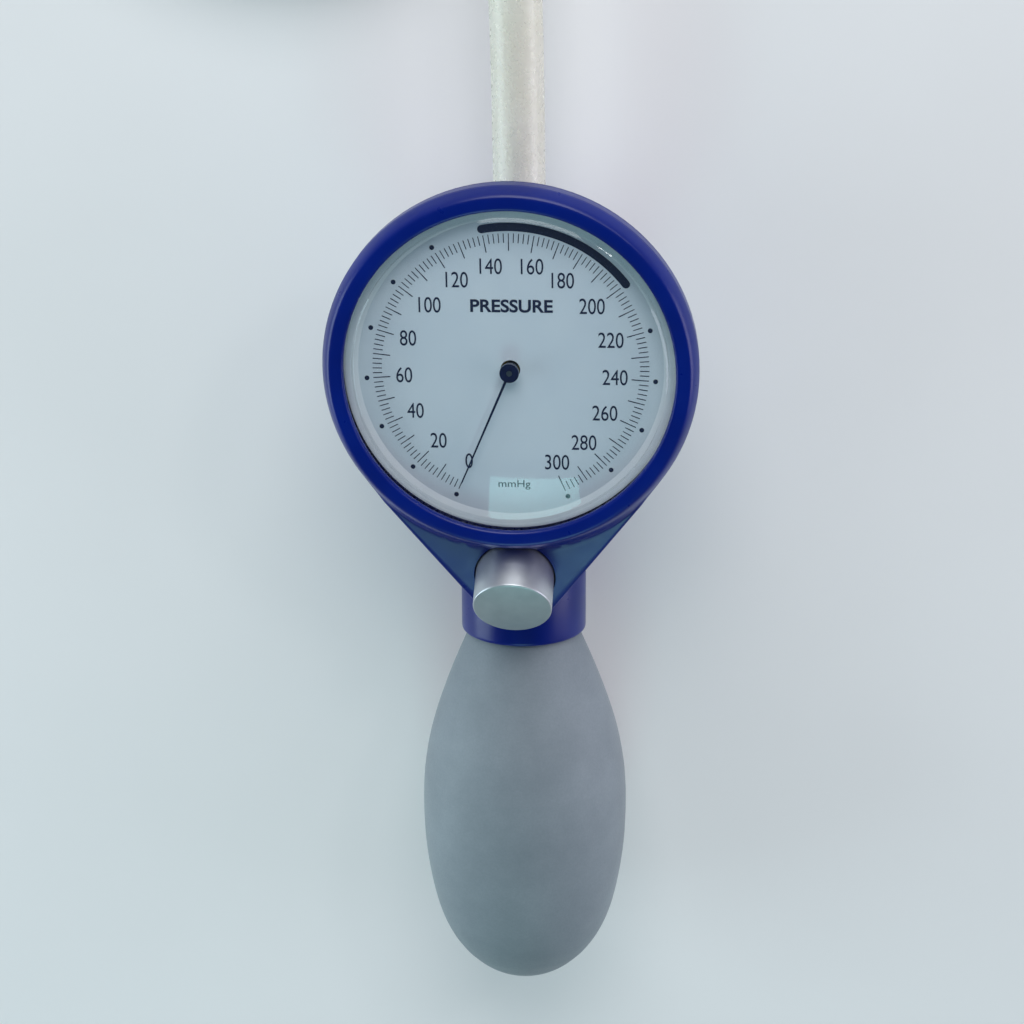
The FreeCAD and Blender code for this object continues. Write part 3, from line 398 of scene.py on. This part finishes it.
def hosePoints():
    points = list(hoseSizes["run"])
    inner, step = hoseSizes["coilRadius"], hoseSizes["coilStep"]
    halves = [(-inner, inner, 0), (-inner + step, inner + step, 180), (-inner, inner + 2 * step, 0)]
    for turn, (centre, radius, first) in enumerate(halves):
        for k in range(1, hoseSizes["perHalfTurn"] + 1):
            angle = math.radians(first + 180 * (k - (0.5 if turn == 0 else 0)) / hoseSizes["perHalfTurn"])
            points.append((centre + radius * math.cos(angle),
                           hoseSizes["coilCentre"] + radius * math.sin(angle), hoseSizes["lying"]))
    points.pop()
    for k, height in enumerate(hoseSizes["lift"]):
        x, y, _ = points[k - 2]
        points[k - 2] = (x, y, height)
    return points + [hoseSizes["end"]]


def tubeCurve(name, diameter):
    curve = bpy.data.curves.new(name, "CURVE")
    curve.dimensions = "3D"
    line = curve.splines.new("NURBS")
    points = hosePoints()
    line.points.add(len(points) - 1)
    for spot, point in zip(line.points, points):
        spot.co = (*point, 1)
    line.order_u = 3
    line.use_endpoint_u = True
    line.resolution_u = 8
    line.use_smooth = True
    curve.bevel_depth = diameter / 2
    curve.bevel_resolution = 10
    curve.use_fill_caps = True
    return curve


hose = bpy.data.objects.new("hose", tubeCurve("hose", hoseSizes["diameter"]))
scene.collection.objects.link(hose)
hose.data.materials.append(silicone)
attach(hose, "housing")
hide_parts("hose_tube", "hose_coil")
boreCurve = bpy.data.objects.new("bore guide", tubeCurve("bore guide", hoseSizes["bore"]))
scene.collection.objects.link(boreCurve)
hoseBore = newPiece("hose_bore", baked(boreCurve, "hose_bore"), "housing")
bpy.data.objects.remove(boreCurve)
hoseBore.data.materials.append(tubeBore)
print("hose laid")

# ---- coupling ring on the connector: straight knurl, cut round the grip ----
ringSizes = {"outer": 7.0, "inner": 4.65, "start": 18.0, "gripEnd": 28.0, "skirt": 6.4, "skirtEnd": 37.0,
             "ridges": 48, "ridgeWidth": 0.34}


def knurlTree():
    tree = bpy.data.node_groups.new("straight knurl", "GeometryNodeTree")
    for name, kind, default in (("Ridges", "NodeSocketInt", 48), ("Radius", "NodeSocketFloat", 0.007),
                                ("Length", "NodeSocketFloat", 0.01), ("Ridge", "NodeSocketFloat", 0.0004),
                                ("Finish", "NodeSocketMaterial", None)):
        socket = tree.interface.new_socket(name, in_out="INPUT", socket_type=kind)
        if default is not None:
            socket.default_value = default
    tree.interface.new_socket("Geometry", in_out="OUTPUT", socket_type="NodeSocketGeometry")
    given = addNode(tree, "NodeGroupInput").outputs
    circle = addNode(tree, "GeometryNodeMeshCircle", {"Vertices": given["Ridges"], "Radius": given["Radius"]})
    size = addNode(tree, "ShaderNodeCombineXYZ", {0: given["Ridge"], 1: given["Ridge"], 2: given["Length"]})
    bar = addNode(tree, "GeometryNodeMeshCube", {"Size": size.outputs[0]})
    place = addNode(tree, "GeometryNodeInputPosition")
    turn = addNode(tree, "FunctionNodeAlignRotationToVector", {"Vector": place.outputs[0]}, axis="X")
    eighth = addNode(tree, "FunctionNodeRotateRotation", {
        "Rotation": turn.outputs[0], "Rotate By": (0, 0, math.radians(45))}, rotation_space="LOCAL")
    bars = addNode(tree, "GeometryNodeInstanceOnPoints", {
        "Points": circle.outputs[0], "Instance": bar.outputs[0], "Rotation": eighth.outputs[0]})
    real = addNode(tree, "GeometryNodeRealizeInstances", {"Geometry": bars.outputs[0]})
    done = addNode(tree, "GeometryNodeSetMaterial", {
        "Geometry": real.outputs[0], "Material": given["Finish"]})
    addNode(tree, "NodeGroupOutput", {0: done.outputs[0]})
    return tree


def setInputs(modifier, values):
    for item in modifier.node_group.interface.items_tree:
        if item.item_type == "SOCKET" and item.in_out == "INPUT" and item.name in values:
            modifier[item.identifier] = values[item.name]


def grown(name, tree, values, place=None):
    # run a node tree on an empty mesh and keep what it makes as a plain mesh
    carrier = bpy.data.objects.new(name, bpy.data.meshes.new(name))
    scene.collection.objects.link(carrier)
    modifier = carrier.modifiers.new("tree", "NODES")
    modifier.node_group = tree
    setInputs(modifier, values)
    mesh = baked(carrier, name, place)
    bpy.data.objects.remove(carrier)
    return mesh


ring = ringSizes
couplingRing = turned("coupling_ring", rounded([
    (ring["inner"], ring["start"]), (ring["outer"] - 0.25, ring["start"]),
    (ring["outer"] - 0.25, ring["gripEnd"]), (ring["skirt"], ring["gripEnd"] + 1),
    (ring["skirt"], ring["skirtEnd"]), (ring["skirt"] - 0.9, ring["skirtEnd"]),
    (ring["skirt"] - 0.9, ring["gripEnd"] + 1), (ring["inner"], ring["gripEnd"] + 1)], 0.25),
    None, portPlace, 96)
knurl = grown("knurl", knurlTree(), {
    "Ridges": ring["ridges"], "Radius": (ring["outer"] - 0.22) * mm,
    "Length": (ring["gripEnd"] - ring["start"] - 1.4) * mm, "Ridge": ring["ridgeWidth"] * mm,
    "Finish": nickel}, portPlace @ Matrix.Translation((0, 0, 0.5 * (ring["start"] + ring["gripEnd"]) * mm)))
couplingRing.data.materials.append(nickel)
bm = bmesh.new()
bm.from_mesh(couplingRing.data)
bm.from_mesh(knurl)
bm.to_mesh(couplingRing.data)
bm.free()
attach(couplingRing, "coupling_ring")
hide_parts("connector_ring")
print("connector dressed")

# ---- front cover: round bezel that flows into a pointed chin ----
coverSizes = {
    "headRadius": 33.05, "opening": 29.0, "lip": 41.0, "crown": 42.25, "flat": 31.2, "shoulder": 39.6,
    "parting": 36.8, "halfAngle": 35.17, "chinSlope": 15.96, "chinLevel": 46.65, "chinThick": 2.5,
    "tipRadius": 7.5, "blend": 3.4, "wellRadius": 7.5, "wellDepth": -6.0, "wellTop": 9.0,
    "throatRadius": 12.1, "throatStart": -0.3, "throatEnd": 20.0, "cutterSteps": 144, "directions": 288}


def chinHeight(y):
    return coverSizes["chinLevel"] + math.tan(math.radians(coverSizes["chinSlope"])) * y


def softMax(a, b, width):
    if width < 1e-6:
        return max(a, b)
    share = max(width - abs(a - b), 0) / width
    return max(a, b) + share * share * width / 4


def bezelHeight(radius):
    # crown of the bezel, then its rounded outer flank carried on downwards
    crown, shoulder = coverSizes["crown"], coverSizes["shoulder"]
    flat = coverSizes["flat"]
    head = coverSizes["headRadius"]
    if radius <= flat:
        return crown
    share = (radius - flat) / (head - flat)
    return crown - (crown - shoulder) * share ** 2


def coverOutline(direction):
    # the cover's closed section along one direction; 0 points down the chin
    head = coverSizes["headRadius"]
    tangent = math.radians(90 - coverSizes["halfAngle"])
    away = abs(direction)
    inChin = away < tangent
    edge = head / math.cos(tangent - away) if inChin else head
    tipRadius = coverSizes["tipRadius"]
    tipMiddle = (head - tipRadius) / math.cos(tangent)
    if away < math.atan2(tipRadius * math.sin(tangent), tipMiddle + tipRadius * math.cos(tangent)):
        across = tipMiddle * math.sin(away)
        edge = tipMiddle * math.cos(away) + math.sqrt(tipRadius ** 2 - across ** 2)
    cos = math.cos(direction)
    blend = coverSizes["blend"] * min(max((tangent - away) / math.radians(24), 0), 1)
    parting, shoulder = coverSizes["parting"], coverSizes["shoulder"]

    def topHeight(radius):
        if not inChin:
            return bezelHeight(radius)
        chin = min(chinHeight(-radius * cos), shoulder)
        return softMax(bezelHeight(radius), chin, blend)

    def lowHeight(radius):
        return min(chinHeight(-radius * cos) - coverSizes["chinThick"], parting) if inChin else parting

    opening = coverSizes["opening"]
    lip, crown = coverSizes["lip"], coverSizes["crown"]
    section = [(opening, lip), (opening, crown - 0.5), (opening + 0.08, crown - 0.28),
               (opening + 0.24, crown - 0.12), (opening + 0.5, crown - 0.03), (opening + 0.9, crown)]
    steps = [30.5, 31.0] + [31.2 + 0.2 * k for k in range(1, 8)] + [32.75, 32.9]
    section += [(r, topHeight(r)) for r in steps]
    reach = max(edge - 0.4, 32.92)
    for k in range(1, 15):
        radius = 32.92 + (reach - 32.92) * (k / 14) ** 1.8
        section.append((radius, topHeight(radius)))
    top = topHeight(edge) if inChin else shoulder
    rim = min(0.4, edge - 32.92)
    section += [(edge - rim * 0.3, top - 0.03 - rim * 0.1), (edge - rim * 0.08, top - rim * 0.45),
                (edge, top - rim), (edge, lowHeight(edge) + 0.25), (edge - 0.2, lowHeight(edge) + 0.05)]
    for k in range(1, 7):
        radius = edge - 0.2 + (31.25 - edge + 0.2) * k / 6
        section.append((radius, lowHeight(radius)))
    spigot = 36.7 if away < math.radians(29.5) else 35.0
    section += [(30.0, 36.75), (30.0, spigot), (29.1, spigot), (29.1, 37.2), (31.2, 37.2), (31.2, lip)]
    return section


def makeCover():
    count = coverSizes["directions"]
    bm = bmesh.new()
    loops = []
    for k in range(count):
        direction = 2 * math.pi * k / count
        direction = direction if direction <= math.pi else direction - 2 * math.pi
        sin, cos = math.sin(direction), -math.cos(direction)
        loops.append([bm.verts.new((r * sin * mm, r * cos * mm, z * mm)) for r, z in coverOutline(direction)])
    for k in range(count):
        here, there = loops[k], loops[(k + 1) % count]
        for i in range(len(here)):
            j = (i + 1) % len(here)
            bm.faces.new((here[i], there[i], there[j], here[j]))
    bmesh.ops.remove_doubles(bm, verts=bm.verts, dist=2e-7)
    bmesh.ops.recalc_face_normals(bm, faces=bm.faces)
    cover = newPiece("bezel_and_chin", meshFrom(bm, "bezel_and_chin"), None)
    size = coverSizes

    def cutterRod(name, radius, low, high, place):
        return turned(name, [(0, low), (radius, low), (radius, high), (0, high)], None, place,
                      size["cutterSteps"])

    well = cutterRod("well cutter", size["wellRadius"], size["wellDepth"], size["wellTop"], buttonPlace)
    throat = cutterRod("collar cutter", size["throatRadius"], size["throatStart"], size["throatEnd"],
                       neckPlace)
    for cutter in (well, throat):
        cut = cover.modifiers.new("cut", "BOOLEAN")
        cut.object = cutter
        cut.operation = "DIFFERENCE"
        cut.solver = "EXACT"
    mesh = baked(cover, "bezel_and_chin")
    for spare in (well, throat, cover):
        bpy.data.objects.remove(spare)
    bm = bmesh.new()
    bm.from_mesh(mesh)
    bmesh.ops.remove_doubles(bm, verts=bm.verts, dist=1e-6)
    mesh = meshFrom(bm, "bezel_and_chin", 28.0)
    mesh.materials.clear()
    mesh.materials.append(blueAbs)
    return mesh


frontCover = newPiece("bezel_and_chin", makeCover(), "housing")
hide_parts("front_cover")
print("front cover made")


# ---- pieces that keep their CAD shape but need smooth faces ----
def smoothed(node, name, body, material, sharp=30.0):
    bm = bmesh.new()
    bm.from_mesh(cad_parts[node].data)
    bmesh.ops.remove_doubles(bm, verts=bm.verts, dist=2e-6)
    mesh = meshFrom(bm, name, sharp)
    mesh.materials.append(material)
    piece = newPiece(name, mesh, body)
    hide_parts(node)
    return piece


smoothed("rear_housing", "housing_shell", "housing", blueAbs, 24.0)
smoothed("lens", "lens_cap", "housing", clearAcrylic, 40.0)

# ---- collar, bulb and button ----
collarSizes = {"radius": 12.0, "bore": 10.0, "length": 12.2, "round": 0.9}
collar = turned("collar", rounded([
    (collarSizes["bore"], 0.0), (collarSizes["radius"], 0.0), (collarSizes["radius"], collarSizes["length"]),
    (collarSizes["bore"], collarSizes["length"])], collarSizes["round"], 5), "housing", neckPlace, 160)
collar.data.materials.append(blueAbs)
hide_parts("bulb_collar")

buttonSizes = {"radius": 7.2, "inner": 5.6, "boss": 2.6, "stem": 1.2, "sunk": -3.0, "under": 3.5,
               "stemTop": 4.0, "top": 6.6, "round": 0.32}
size = buttonSizes
button = turned("button_cap", rounded([
    (size["stem"], size["sunk"]), (size["boss"], size["sunk"]), (size["boss"], size["under"]),
    (size["inner"], size["under"]), (size["inner"], size["sunk"]), (size["radius"], size["sunk"]),
    (size["radius"], size["top"]), (0, size["top"]), (0, size["stemTop"]), (size["stem"], size["stemTop"])],
    size["round"], 4), "button", buttonPlace, 160)
button.data.materials.append(satinAluminium)
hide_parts("push_button")

bulbSizes = {"start": 12.3, "end": 86.15, "radius": 20.08, "wall": 2.2, "seamAt": 41.6,
             "seamHeight": 0.1, "seamHalf": 0.35, "around": 160, "along": 200, "open": 0.99,
             "shape": [(0.0, 0.523), (0.05, 0.604), (0.1, 0.681), (0.15, 0.7525), (0.2, 0.818),
                       (0.25, 0.876), (0.3, 0.924), (0.35, 0.959), (0.4, 0.984), (0.45, 0.997), (0.5, 1.0),
                       (0.55, 0.996), (0.6, 0.986), (0.65, 0.966), (0.7, 0.938), (0.75, 0.901),
                       (0.8, 0.851), (0.85, 0.776), (0.9, 0.665), (0.93, 0.57), (0.96, 0.445),
                       (0.98, 0.32), (0.99, 0.2275)]}


def bulbTree():
    # a tube of rings whose radius follows a curve along its length, open at the valve's hole
    tree = bpy.data.node_groups.new("bulb turner", "GeometryNodeTree")
    for name, kind in (("Length", "NodeSocketFloat"), ("Radius", "NodeSocketFloat"),
                       ("Around", "NodeSocketInt"), ("Along", "NodeSocketInt"),
                       ("Seam At", "NodeSocketFloat"), ("Seam Height", "NodeSocketFloat"),
                       ("Finish", "NodeSocketMaterial")):
        tree.interface.new_socket(name, in_out="INPUT", socket_type=kind)
    tree.interface.new_socket("Geometry", in_out="OUTPUT", socket_type="NodeSocketGeometry")
    given = addNode(tree, "NodeGroupInput").outputs
    tube = addNode(tree, "GeometryNodeMeshCylinder", {
        "Vertices": given["Around"], "Side Segments": given["Along"], "Radius": 1.0,
        "Depth": 1.0}, fill_type="NONE")
    spot = addNode(tree, "GeometryNodeInputPosition")
    parts = addNode(tree, "ShaderNodeSeparateXYZ", {0: spot.outputs[0]})
    share = addNode(tree, "ShaderNodeMath", {0: parts.outputs[2], 1: 0.5}, operation="ADD")
    easing = addNode(tree, "ShaderNodeMath", {0: share.outputs[0], 1: math.pi / 2}, operation="MULTIPLY")
    eased = addNode(tree, "ShaderNodeMath", {0: easing.outputs[0]}, operation="SINE")
    along = addNode(tree, "ShaderNodeMath", {0: eased.outputs[0], 1: bulbSizes["open"]}, operation="MULTIPLY")
    curve = addNode(tree, "ShaderNodeFloatCurve", {"Value": along.outputs[0]})
    line = curve.mapping.curves[0]
    line.points[0].location = bulbSizes["shape"][0]
    line.points[1].location = (1.0, 0.0)
    for place in bulbSizes["shape"][1:]:
        line.points.new(*place)
    curve.mapping.update()
    wide = addNode(tree, "ShaderNodeMath", {0: curve.outputs[0], 1: given["Radius"]}, operation="MULTIPLY")
    height = addNode(tree, "ShaderNodeMath", {0: along.outputs[0], 1: given["Length"]}, operation="MULTIPLY")
    offset = addNode(tree, "ShaderNodeMath", {
        0: height.outputs[0], 1: given["Seam At"]}, operation="SUBTRACT")
    near = addNode(tree, "ShaderNodeMapRange", {
        "Value": addNode(tree, "ShaderNodeMath", {0: offset.outputs[0]}, operation="ABSOLUTE").outputs[0],
        "From Min": 0.0, "From Max": bulbSizes["seamHalf"] * mm, "To Min": given["Seam Height"],
        "To Max": 0.0})
    full = addNode(tree, "ShaderNodeMath", {0: wide.outputs[0], 1: near.outputs[0]}, operation="ADD")
    x = addNode(tree, "ShaderNodeMath", {0: parts.outputs[0], 1: full.outputs[0]}, operation="MULTIPLY")
    y = addNode(tree, "ShaderNodeMath", {0: parts.outputs[1], 1: full.outputs[0]}, operation="MULTIPLY")
    where = addNode(tree, "ShaderNodeCombineXYZ", {0: x.outputs[0], 1: y.outputs[0], 2: height.outputs[0]})
    shaped = addNode(tree, "GeometryNodeSetPosition", {
        "Geometry": tube.outputs[0], "Position": where.outputs[0]})
    merged = addNode(tree, "GeometryNodeMergeByDistance", {"Geometry": shaped.outputs[0], "Distance": 1e-6})
    real = addNode(tree, "GeometryNodeRealizeInstances", {"Geometry": merged.outputs[0]})
    done = addNode(tree, "GeometryNodeSetMaterial", {
        "Geometry": real.outputs[0], "Material": given["Finish"]})
    addNode(tree, "NodeGroupOutput", {0: done.outputs[0]})
    return tree


def makeBulb():
    size = bulbSizes
    length = (size["end"] - size["start"]) * mm
    outer = grown("bulb skin", bulbTree(), {
        "Length": length, "Radius": size["radius"] * mm, "Around": size["around"], "Along": size["along"],
        "Seam At": (size["seamAt"] - size["start"]) * mm, "Seam Height": size["seamHeight"] * mm,
        "Finish": greyRubber})
    bm = bmesh.new()
    bm.from_mesh(outer)
    bmesh.ops.translate(bm, verts=bm.verts, vec=(0, 0, size["start"] * mm))
    bmesh.ops.recalc_face_normals(bm, faces=bm.faces)
    if sum(f.normal.dot(f.calc_center_median().xy.to_3d()) for f in bm.faces) < 0:
        bmesh.ops.reverse_faces(bm, faces=bm.faces)
    skin = newPiece("bulb skin", meshFrom(bm, "bulb skin"), None)
    wall = skin.modifiers.new("wall", "SOLIDIFY")
    wall.thickness = size["wall"] * mm
    wall.offset = -1.0
    bm = bmesh.new()
    bm.from_mesh(baked(skin, "squeeze_bulb"))
    bpy.data.objects.remove(skin)
    mesh = meshFrom(bm, "squeeze_bulb", 50.0)
    mesh.materials.append(greyRubber)
    mesh.transform(neckPlace)
    return mesh


bulb = newPiece("squeeze_bulb", makeBulb(), "housing")
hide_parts("bulb")
print("collar, button and bulb made")

# ---- dial print ----
dialSizes = {
    "face": 38.0, "film": 0.03, "fullScale": 300, "degreesEach": 313.7 / 300, "middle": 150,
    "fineInner": 22.7, "fineOuter": 24.35, "tenInner": 21.3, "fineWidth": 0.15, "tenWidth": 0.17,
    "dotRadius": 25.5, "dotSize": 0.86, "arcInner": 24.75, "arcOuter": 26.2, "arcFrom": 140, "arcTo": 200,
    "numberRadius": 18.7, "numberSize": 3.98, "squeeze": 0.77,
    "numberShift": {0: -0.26, 60: -0.15, 100: 0.6, 120: 0.4, 160: 0.36, 180: -0.7, 200: -0.46, 220: -0.3,
                    240: -0.3, 260: -0.36, 280: -0.1, 300: 0.72}}


def dialAngle(pressure):
    return math.radians((pressure - dialSizes["middle"]) * dialSizes["degreesEach"])


def marksTree():
    # bars or dots on a circle, one step apart
    tree = bpy.data.node_groups.new("dial marks", "GeometryNodeTree")
    for name, kind in (("Count", "NodeSocketInt"), ("Start", "NodeSocketFloat"), ("Step", "NodeSocketFloat"),
                       ("Radius", "NodeSocketFloat"), ("Length", "NodeSocketFloat"),
                       ("Width", "NodeSocketFloat"), ("Film", "NodeSocketFloat"), ("Round", "NodeSocketBool"),
                       ("Finish", "NodeSocketMaterial")):
        tree.interface.new_socket(name, in_out="INPUT", socket_type=kind)
    tree.interface.new_socket("Geometry", in_out="OUTPUT", socket_type="NodeSocketGeometry")
    given = addNode(tree, "NodeGroupInput").outputs
    points = addNode(tree, "GeometryNodePoints", {"Count": given["Count"]})
    index = addNode(tree, "GeometryNodeInputIndex")
    angle = addNode(tree, "ShaderNodeMath", {
        0: index.outputs[0], 1: given["Step"], 2: given["Start"]}, operation="MULTIPLY_ADD").outputs[0]
    sine = addNode(tree, "ShaderNodeMath", {0: angle}, operation="SINE").outputs[0]
    cosine = addNode(tree, "ShaderNodeMath", {0: angle}, operation="COSINE").outputs[0]
    x = addNode(tree, "ShaderNodeMath", {0: sine, 1: given["Radius"]}, operation="MULTIPLY").outputs[0]
    y = addNode(tree, "ShaderNodeMath", {0: cosine, 1: given["Radius"]}, operation="MULTIPLY").outputs[0]
    where = addNode(tree, "ShaderNodeCombineXYZ", {0: x, 1: y})
    placed = addNode(tree, "GeometryNodeSetPosition", {
        "Geometry": points.outputs[0], "Position": where.outputs[0]})
    back = addNode(tree, "ShaderNodeMath", {0: angle, 1: -1.0}, operation="MULTIPLY").outputs[0]
    turn = addNode(tree, "ShaderNodeCombineXYZ", {2: back})
    size = addNode(tree, "ShaderNodeCombineXYZ", {0: given["Width"], 1: given["Length"], 2: given["Film"]})
    bar = addNode(tree, "GeometryNodeMeshCube", {"Size": size.outputs[0]})
    half = addNode(tree, "ShaderNodeMath", {0: given["Width"], 1: 0.5}, operation="MULTIPLY")
    dot = addNode(tree, "GeometryNodeMeshCylinder", {
        "Vertices": 20, "Radius": half.outputs[0], "Depth": given["Film"]})
    shape = addNode(tree, "GeometryNodeSwitch", {
        "Switch": given["Round"], "False": bar.outputs[0], "True": dot.outputs[0]}, input_type="GEOMETRY")
    marks = addNode(tree, "GeometryNodeInstanceOnPoints", {
        "Points": placed.outputs[0], "Instance": shape.outputs[0], "Rotation": turn.outputs[0]})
    real = addNode(tree, "GeometryNodeRealizeInstances", {"Geometry": marks.outputs[0]})
    done = addNode(tree, "GeometryNodeSetMaterial", {
        "Geometry": real.outputs[0], "Material": given["Finish"]})
    addNode(tree, "NodeGroupOutput", {0: done.outputs[0]})
    return tree


def lettering(words, size, x, y, squeeze, weight=0.0):
    # flat printed words as a thin mesh on the dial, centred at a point in mm
    curve = bpy.data.curves.new(words, "FONT")
    curve.body = words
    curve.size = size * mm
    curve.align_x = "CENTER"
    curve.align_y = "CENTER"
    curve.extrude = dialSizes["film"] * mm / 2
    curve.offset = weight * mm
    carrier = bpy.data.objects.new(words, curve)
    scene.collection.objects.link(carrier)
    level = (dialSizes["face"] + dialSizes["film"] / 2 + 0.004) * mm
    place = Matrix.Translation((x * mm, y * mm, level)) @ Matrix.Diagonal((squeeze, 1, 1, 1))
    mesh = baked(carrier, words, place)
    bpy.data.objects.remove(carrier)
    return mesh


def arcMark():
    # the thick warning arc with its round ends
    low, high = dialAngle(dialSizes["arcFrom"]), dialAngle(dialSizes["arcTo"])
    inner, outer = dialSizes["arcInner"], dialSizes["arcOuter"]
    middle, half = 0.5 * (inner + outer), 0.5 * (outer - inner)
    points = [(outer, low + (high - low) * k / 60) for k in range(61)]
    outline = [(r * math.sin(a), r * math.cos(a)) for r, a in points]

    def roundEnd(angle, sign):
        centre = Vector((middle * math.sin(angle), middle * math.cos(angle)))
        out = Vector((math.sin(angle), math.cos(angle)))
        side = Vector((math.cos(angle), -math.sin(angle))) * sign
        return [tuple(centre + out * half * math.cos(t) * sign + side * half * math.sin(t))
                for t in (math.pi * k / 12 for k in range(1, 12))]

    outline += roundEnd(high, 1)
    outline += [(inner * math.sin(a), inner * math.cos(a)) for _, a in reversed(points)]
    outline += roundEnd(low, -1)
    bm = bmesh.new()
    base = dialSizes["face"] + 0.004
    face = bm.faces.new([bm.verts.new((x * mm, y * mm, base * mm)) for x, y in outline])
    lifted = bmesh.ops.extrude_face_region(bm, geom=[face])
    tops = [v for v in lifted["geom"] if isinstance(v, bmesh.types.BMVert)]
    bmesh.ops.translate(bm, verts=tops, vec=(0, 0, dialSizes["film"] * mm))
    bmesh.ops.recalc_face_normals(bm, faces=bm.faces)
    mesh = bpy.data.meshes.new("arc")
    bm.to_mesh(mesh)
    bm.free()
    return mesh


def makeDialPrint():
    size = dialSizes
    tree = marksTree()
    film = size["film"] * mm
    step = math.radians(size["degreesEach"])
    level = Matrix.Translation((0, 0, (size["face"] + size["film"] / 2 + 0.004) * mm))

    def bars(name, count, each, inner, outer, width):
        return grown(name, tree, {
            "Count": count, "Start": dialAngle(0), "Step": step * each, "Radius": 0.5 * (inner + outer) * mm,
            "Length": (outer - inner) * mm, "Width": width * mm, "Film": film, "Round": False,
            "Finish": navyInk}, level)

    def dots(name, first, count):
        return grown(name, tree, {
            "Count": count, "Start": dialAngle(first), "Step": step * 20, "Radius": size["dotRadius"] * mm,
            "Length": 0.0, "Width": size["dotSize"] * mm, "Film": film, "Round": True,
            "Finish": navyInk}, level)

    parts = [bars("fine ticks", 151, 2, size["fineInner"], size["fineOuter"], size["fineWidth"]),
             bars("ten ticks", 31, 10, size["tenInner"], size["fineInner"] + 0.05, size["tenWidth"]),
             dots("low dots", 0, 7), dots("high dots", 220, 5), arcMark()]
    for number in range(0, size["fullScale"] + 1, 20):
        angle = dialAngle(number)
        radius = size["numberRadius"]
        shift = size["numberShift"].get(number, 0)
        parts.append(lettering(str(number), size["numberSize"], radius * math.sin(angle) + shift,
                               radius * math.cos(angle), size["squeeze"]))
    parts.append(lettering("mmHg", 1.9, 0.4, -21.3, 1.15))
    parts.append(lettering("PRESSURE", 3.1, 0.3, 11.4, 1.08, 0.08))
    bm = bmesh.new()
    for part in parts:
        bm.from_mesh(part)
    for face in bm.faces:
        face.material_index = 0
    mesh = bpy.data.meshes.new("dial_print")
    bm.to_mesh(mesh)
    bm.free()
    mesh.materials.append(navyInk)
    return mesh


dialPrint = newPiece("dial_print", makeDialPrint(), "housing")
print("dial printed")

# ---- table, light ----
bm = bmesh.new()
bmesh.ops.create_grid(bm, x_segments=1, y_segments=1, size=3.0)
bmesh.ops.translate(bm, verts=bm.verts, vec=(0, 0, -0.0002))
tableMesh = bpy.data.meshes.new("table")
bm.to_mesh(tableMesh)
bm.free()
table = newPiece("table", tableMesh, None)
# matt card, very slightly uneven
tableWhite, tree, tableShader = newMaterial("tableWhite")
dress(tableShader, roughness=0.9, emission_color=(0.86, 0.865, 0.875, 1), emission_strength=0.16,
      base_color=ramp(tree, grain(tree, 60.0, 3.0), [(0.3, "#DADADB"), (0.7, "#DDDDDE")]))
table.data.materials.append(tableWhite)

world = bpy.data.worlds.new("studio")
scene.world = world
world.use_nodes = True
tree = world.node_tree
tree.nodes.clear()
way = addNode(tree, "ShaderNodeTexCoord").outputs["Generated"]
wayParts = addNode(tree, "ShaderNodeSeparateXYZ", {0: way}).outputs
sky = ramp(tree, wayParts[2], [(0.0, "#F4F4F4"), (0.35, "#B4BAC4"), (0.75, "#5A6A7C"), (1.0, "#4A5A6C")])
ahead = addNode(tree, "ShaderNodeMapRange", {
    "Value": wayParts[1], "From Min": -1.0, "From Max": 1.0, "To Min": 0.3, "To Max": 0.8}).outputs["Result"]
background = addNode(tree, "ShaderNodeBackground", {"Color": sky, "Strength": ahead})
addNode(tree, "ShaderNodeOutputWorld", {"Surface": background.outputs[0]})

lampSizes = {
    "key": {"at": (0.05, 0.60, 0.50), "size": 0.5, "power": 3.8, "tint": (1.0, 1.0, 1.0)},
    "left": {"at": (-0.60, -0.10, 0.12), "size": 0.5, "power": 3.0, "tint": (0.76, 0.95, 1.0)},
    "right": {"at": (0.60, -0.05, 0.14), "size": 0.4, "power": 1.6, "tint": (0.92, 0.88, 1.0)},
    "chin": {"at": (0.0, -0.60, 0.50), "size": 0.25, "power": 0.9, "tint": (0.45, 0.95, 0.9)},
    "spark": {"at": (0.38, 0.38, 0.50), "size": 0.08, "power": 0.3, "tint": (1.0, 1.0, 1.0)}}
for name, lamp in lampSizes.items():
    light = bpy.data.lights.new(name, "AREA")
    light.size = lamp["size"]
    light.energy = lamp["power"]
    light.color = lamp["tint"]
    holder = bpy.data.objects.new(name, light)
    scene.collection.objects.link(holder)
    holder.location = lamp["at"]
    aim = Vector((0, -0.03, 0.02)) - Vector(lamp["at"])
    holder.rotation_mode = "QUATERNION"
    holder.rotation_quaternion = aim.to_track_quat("-Z", "Y")
print("studio lit")
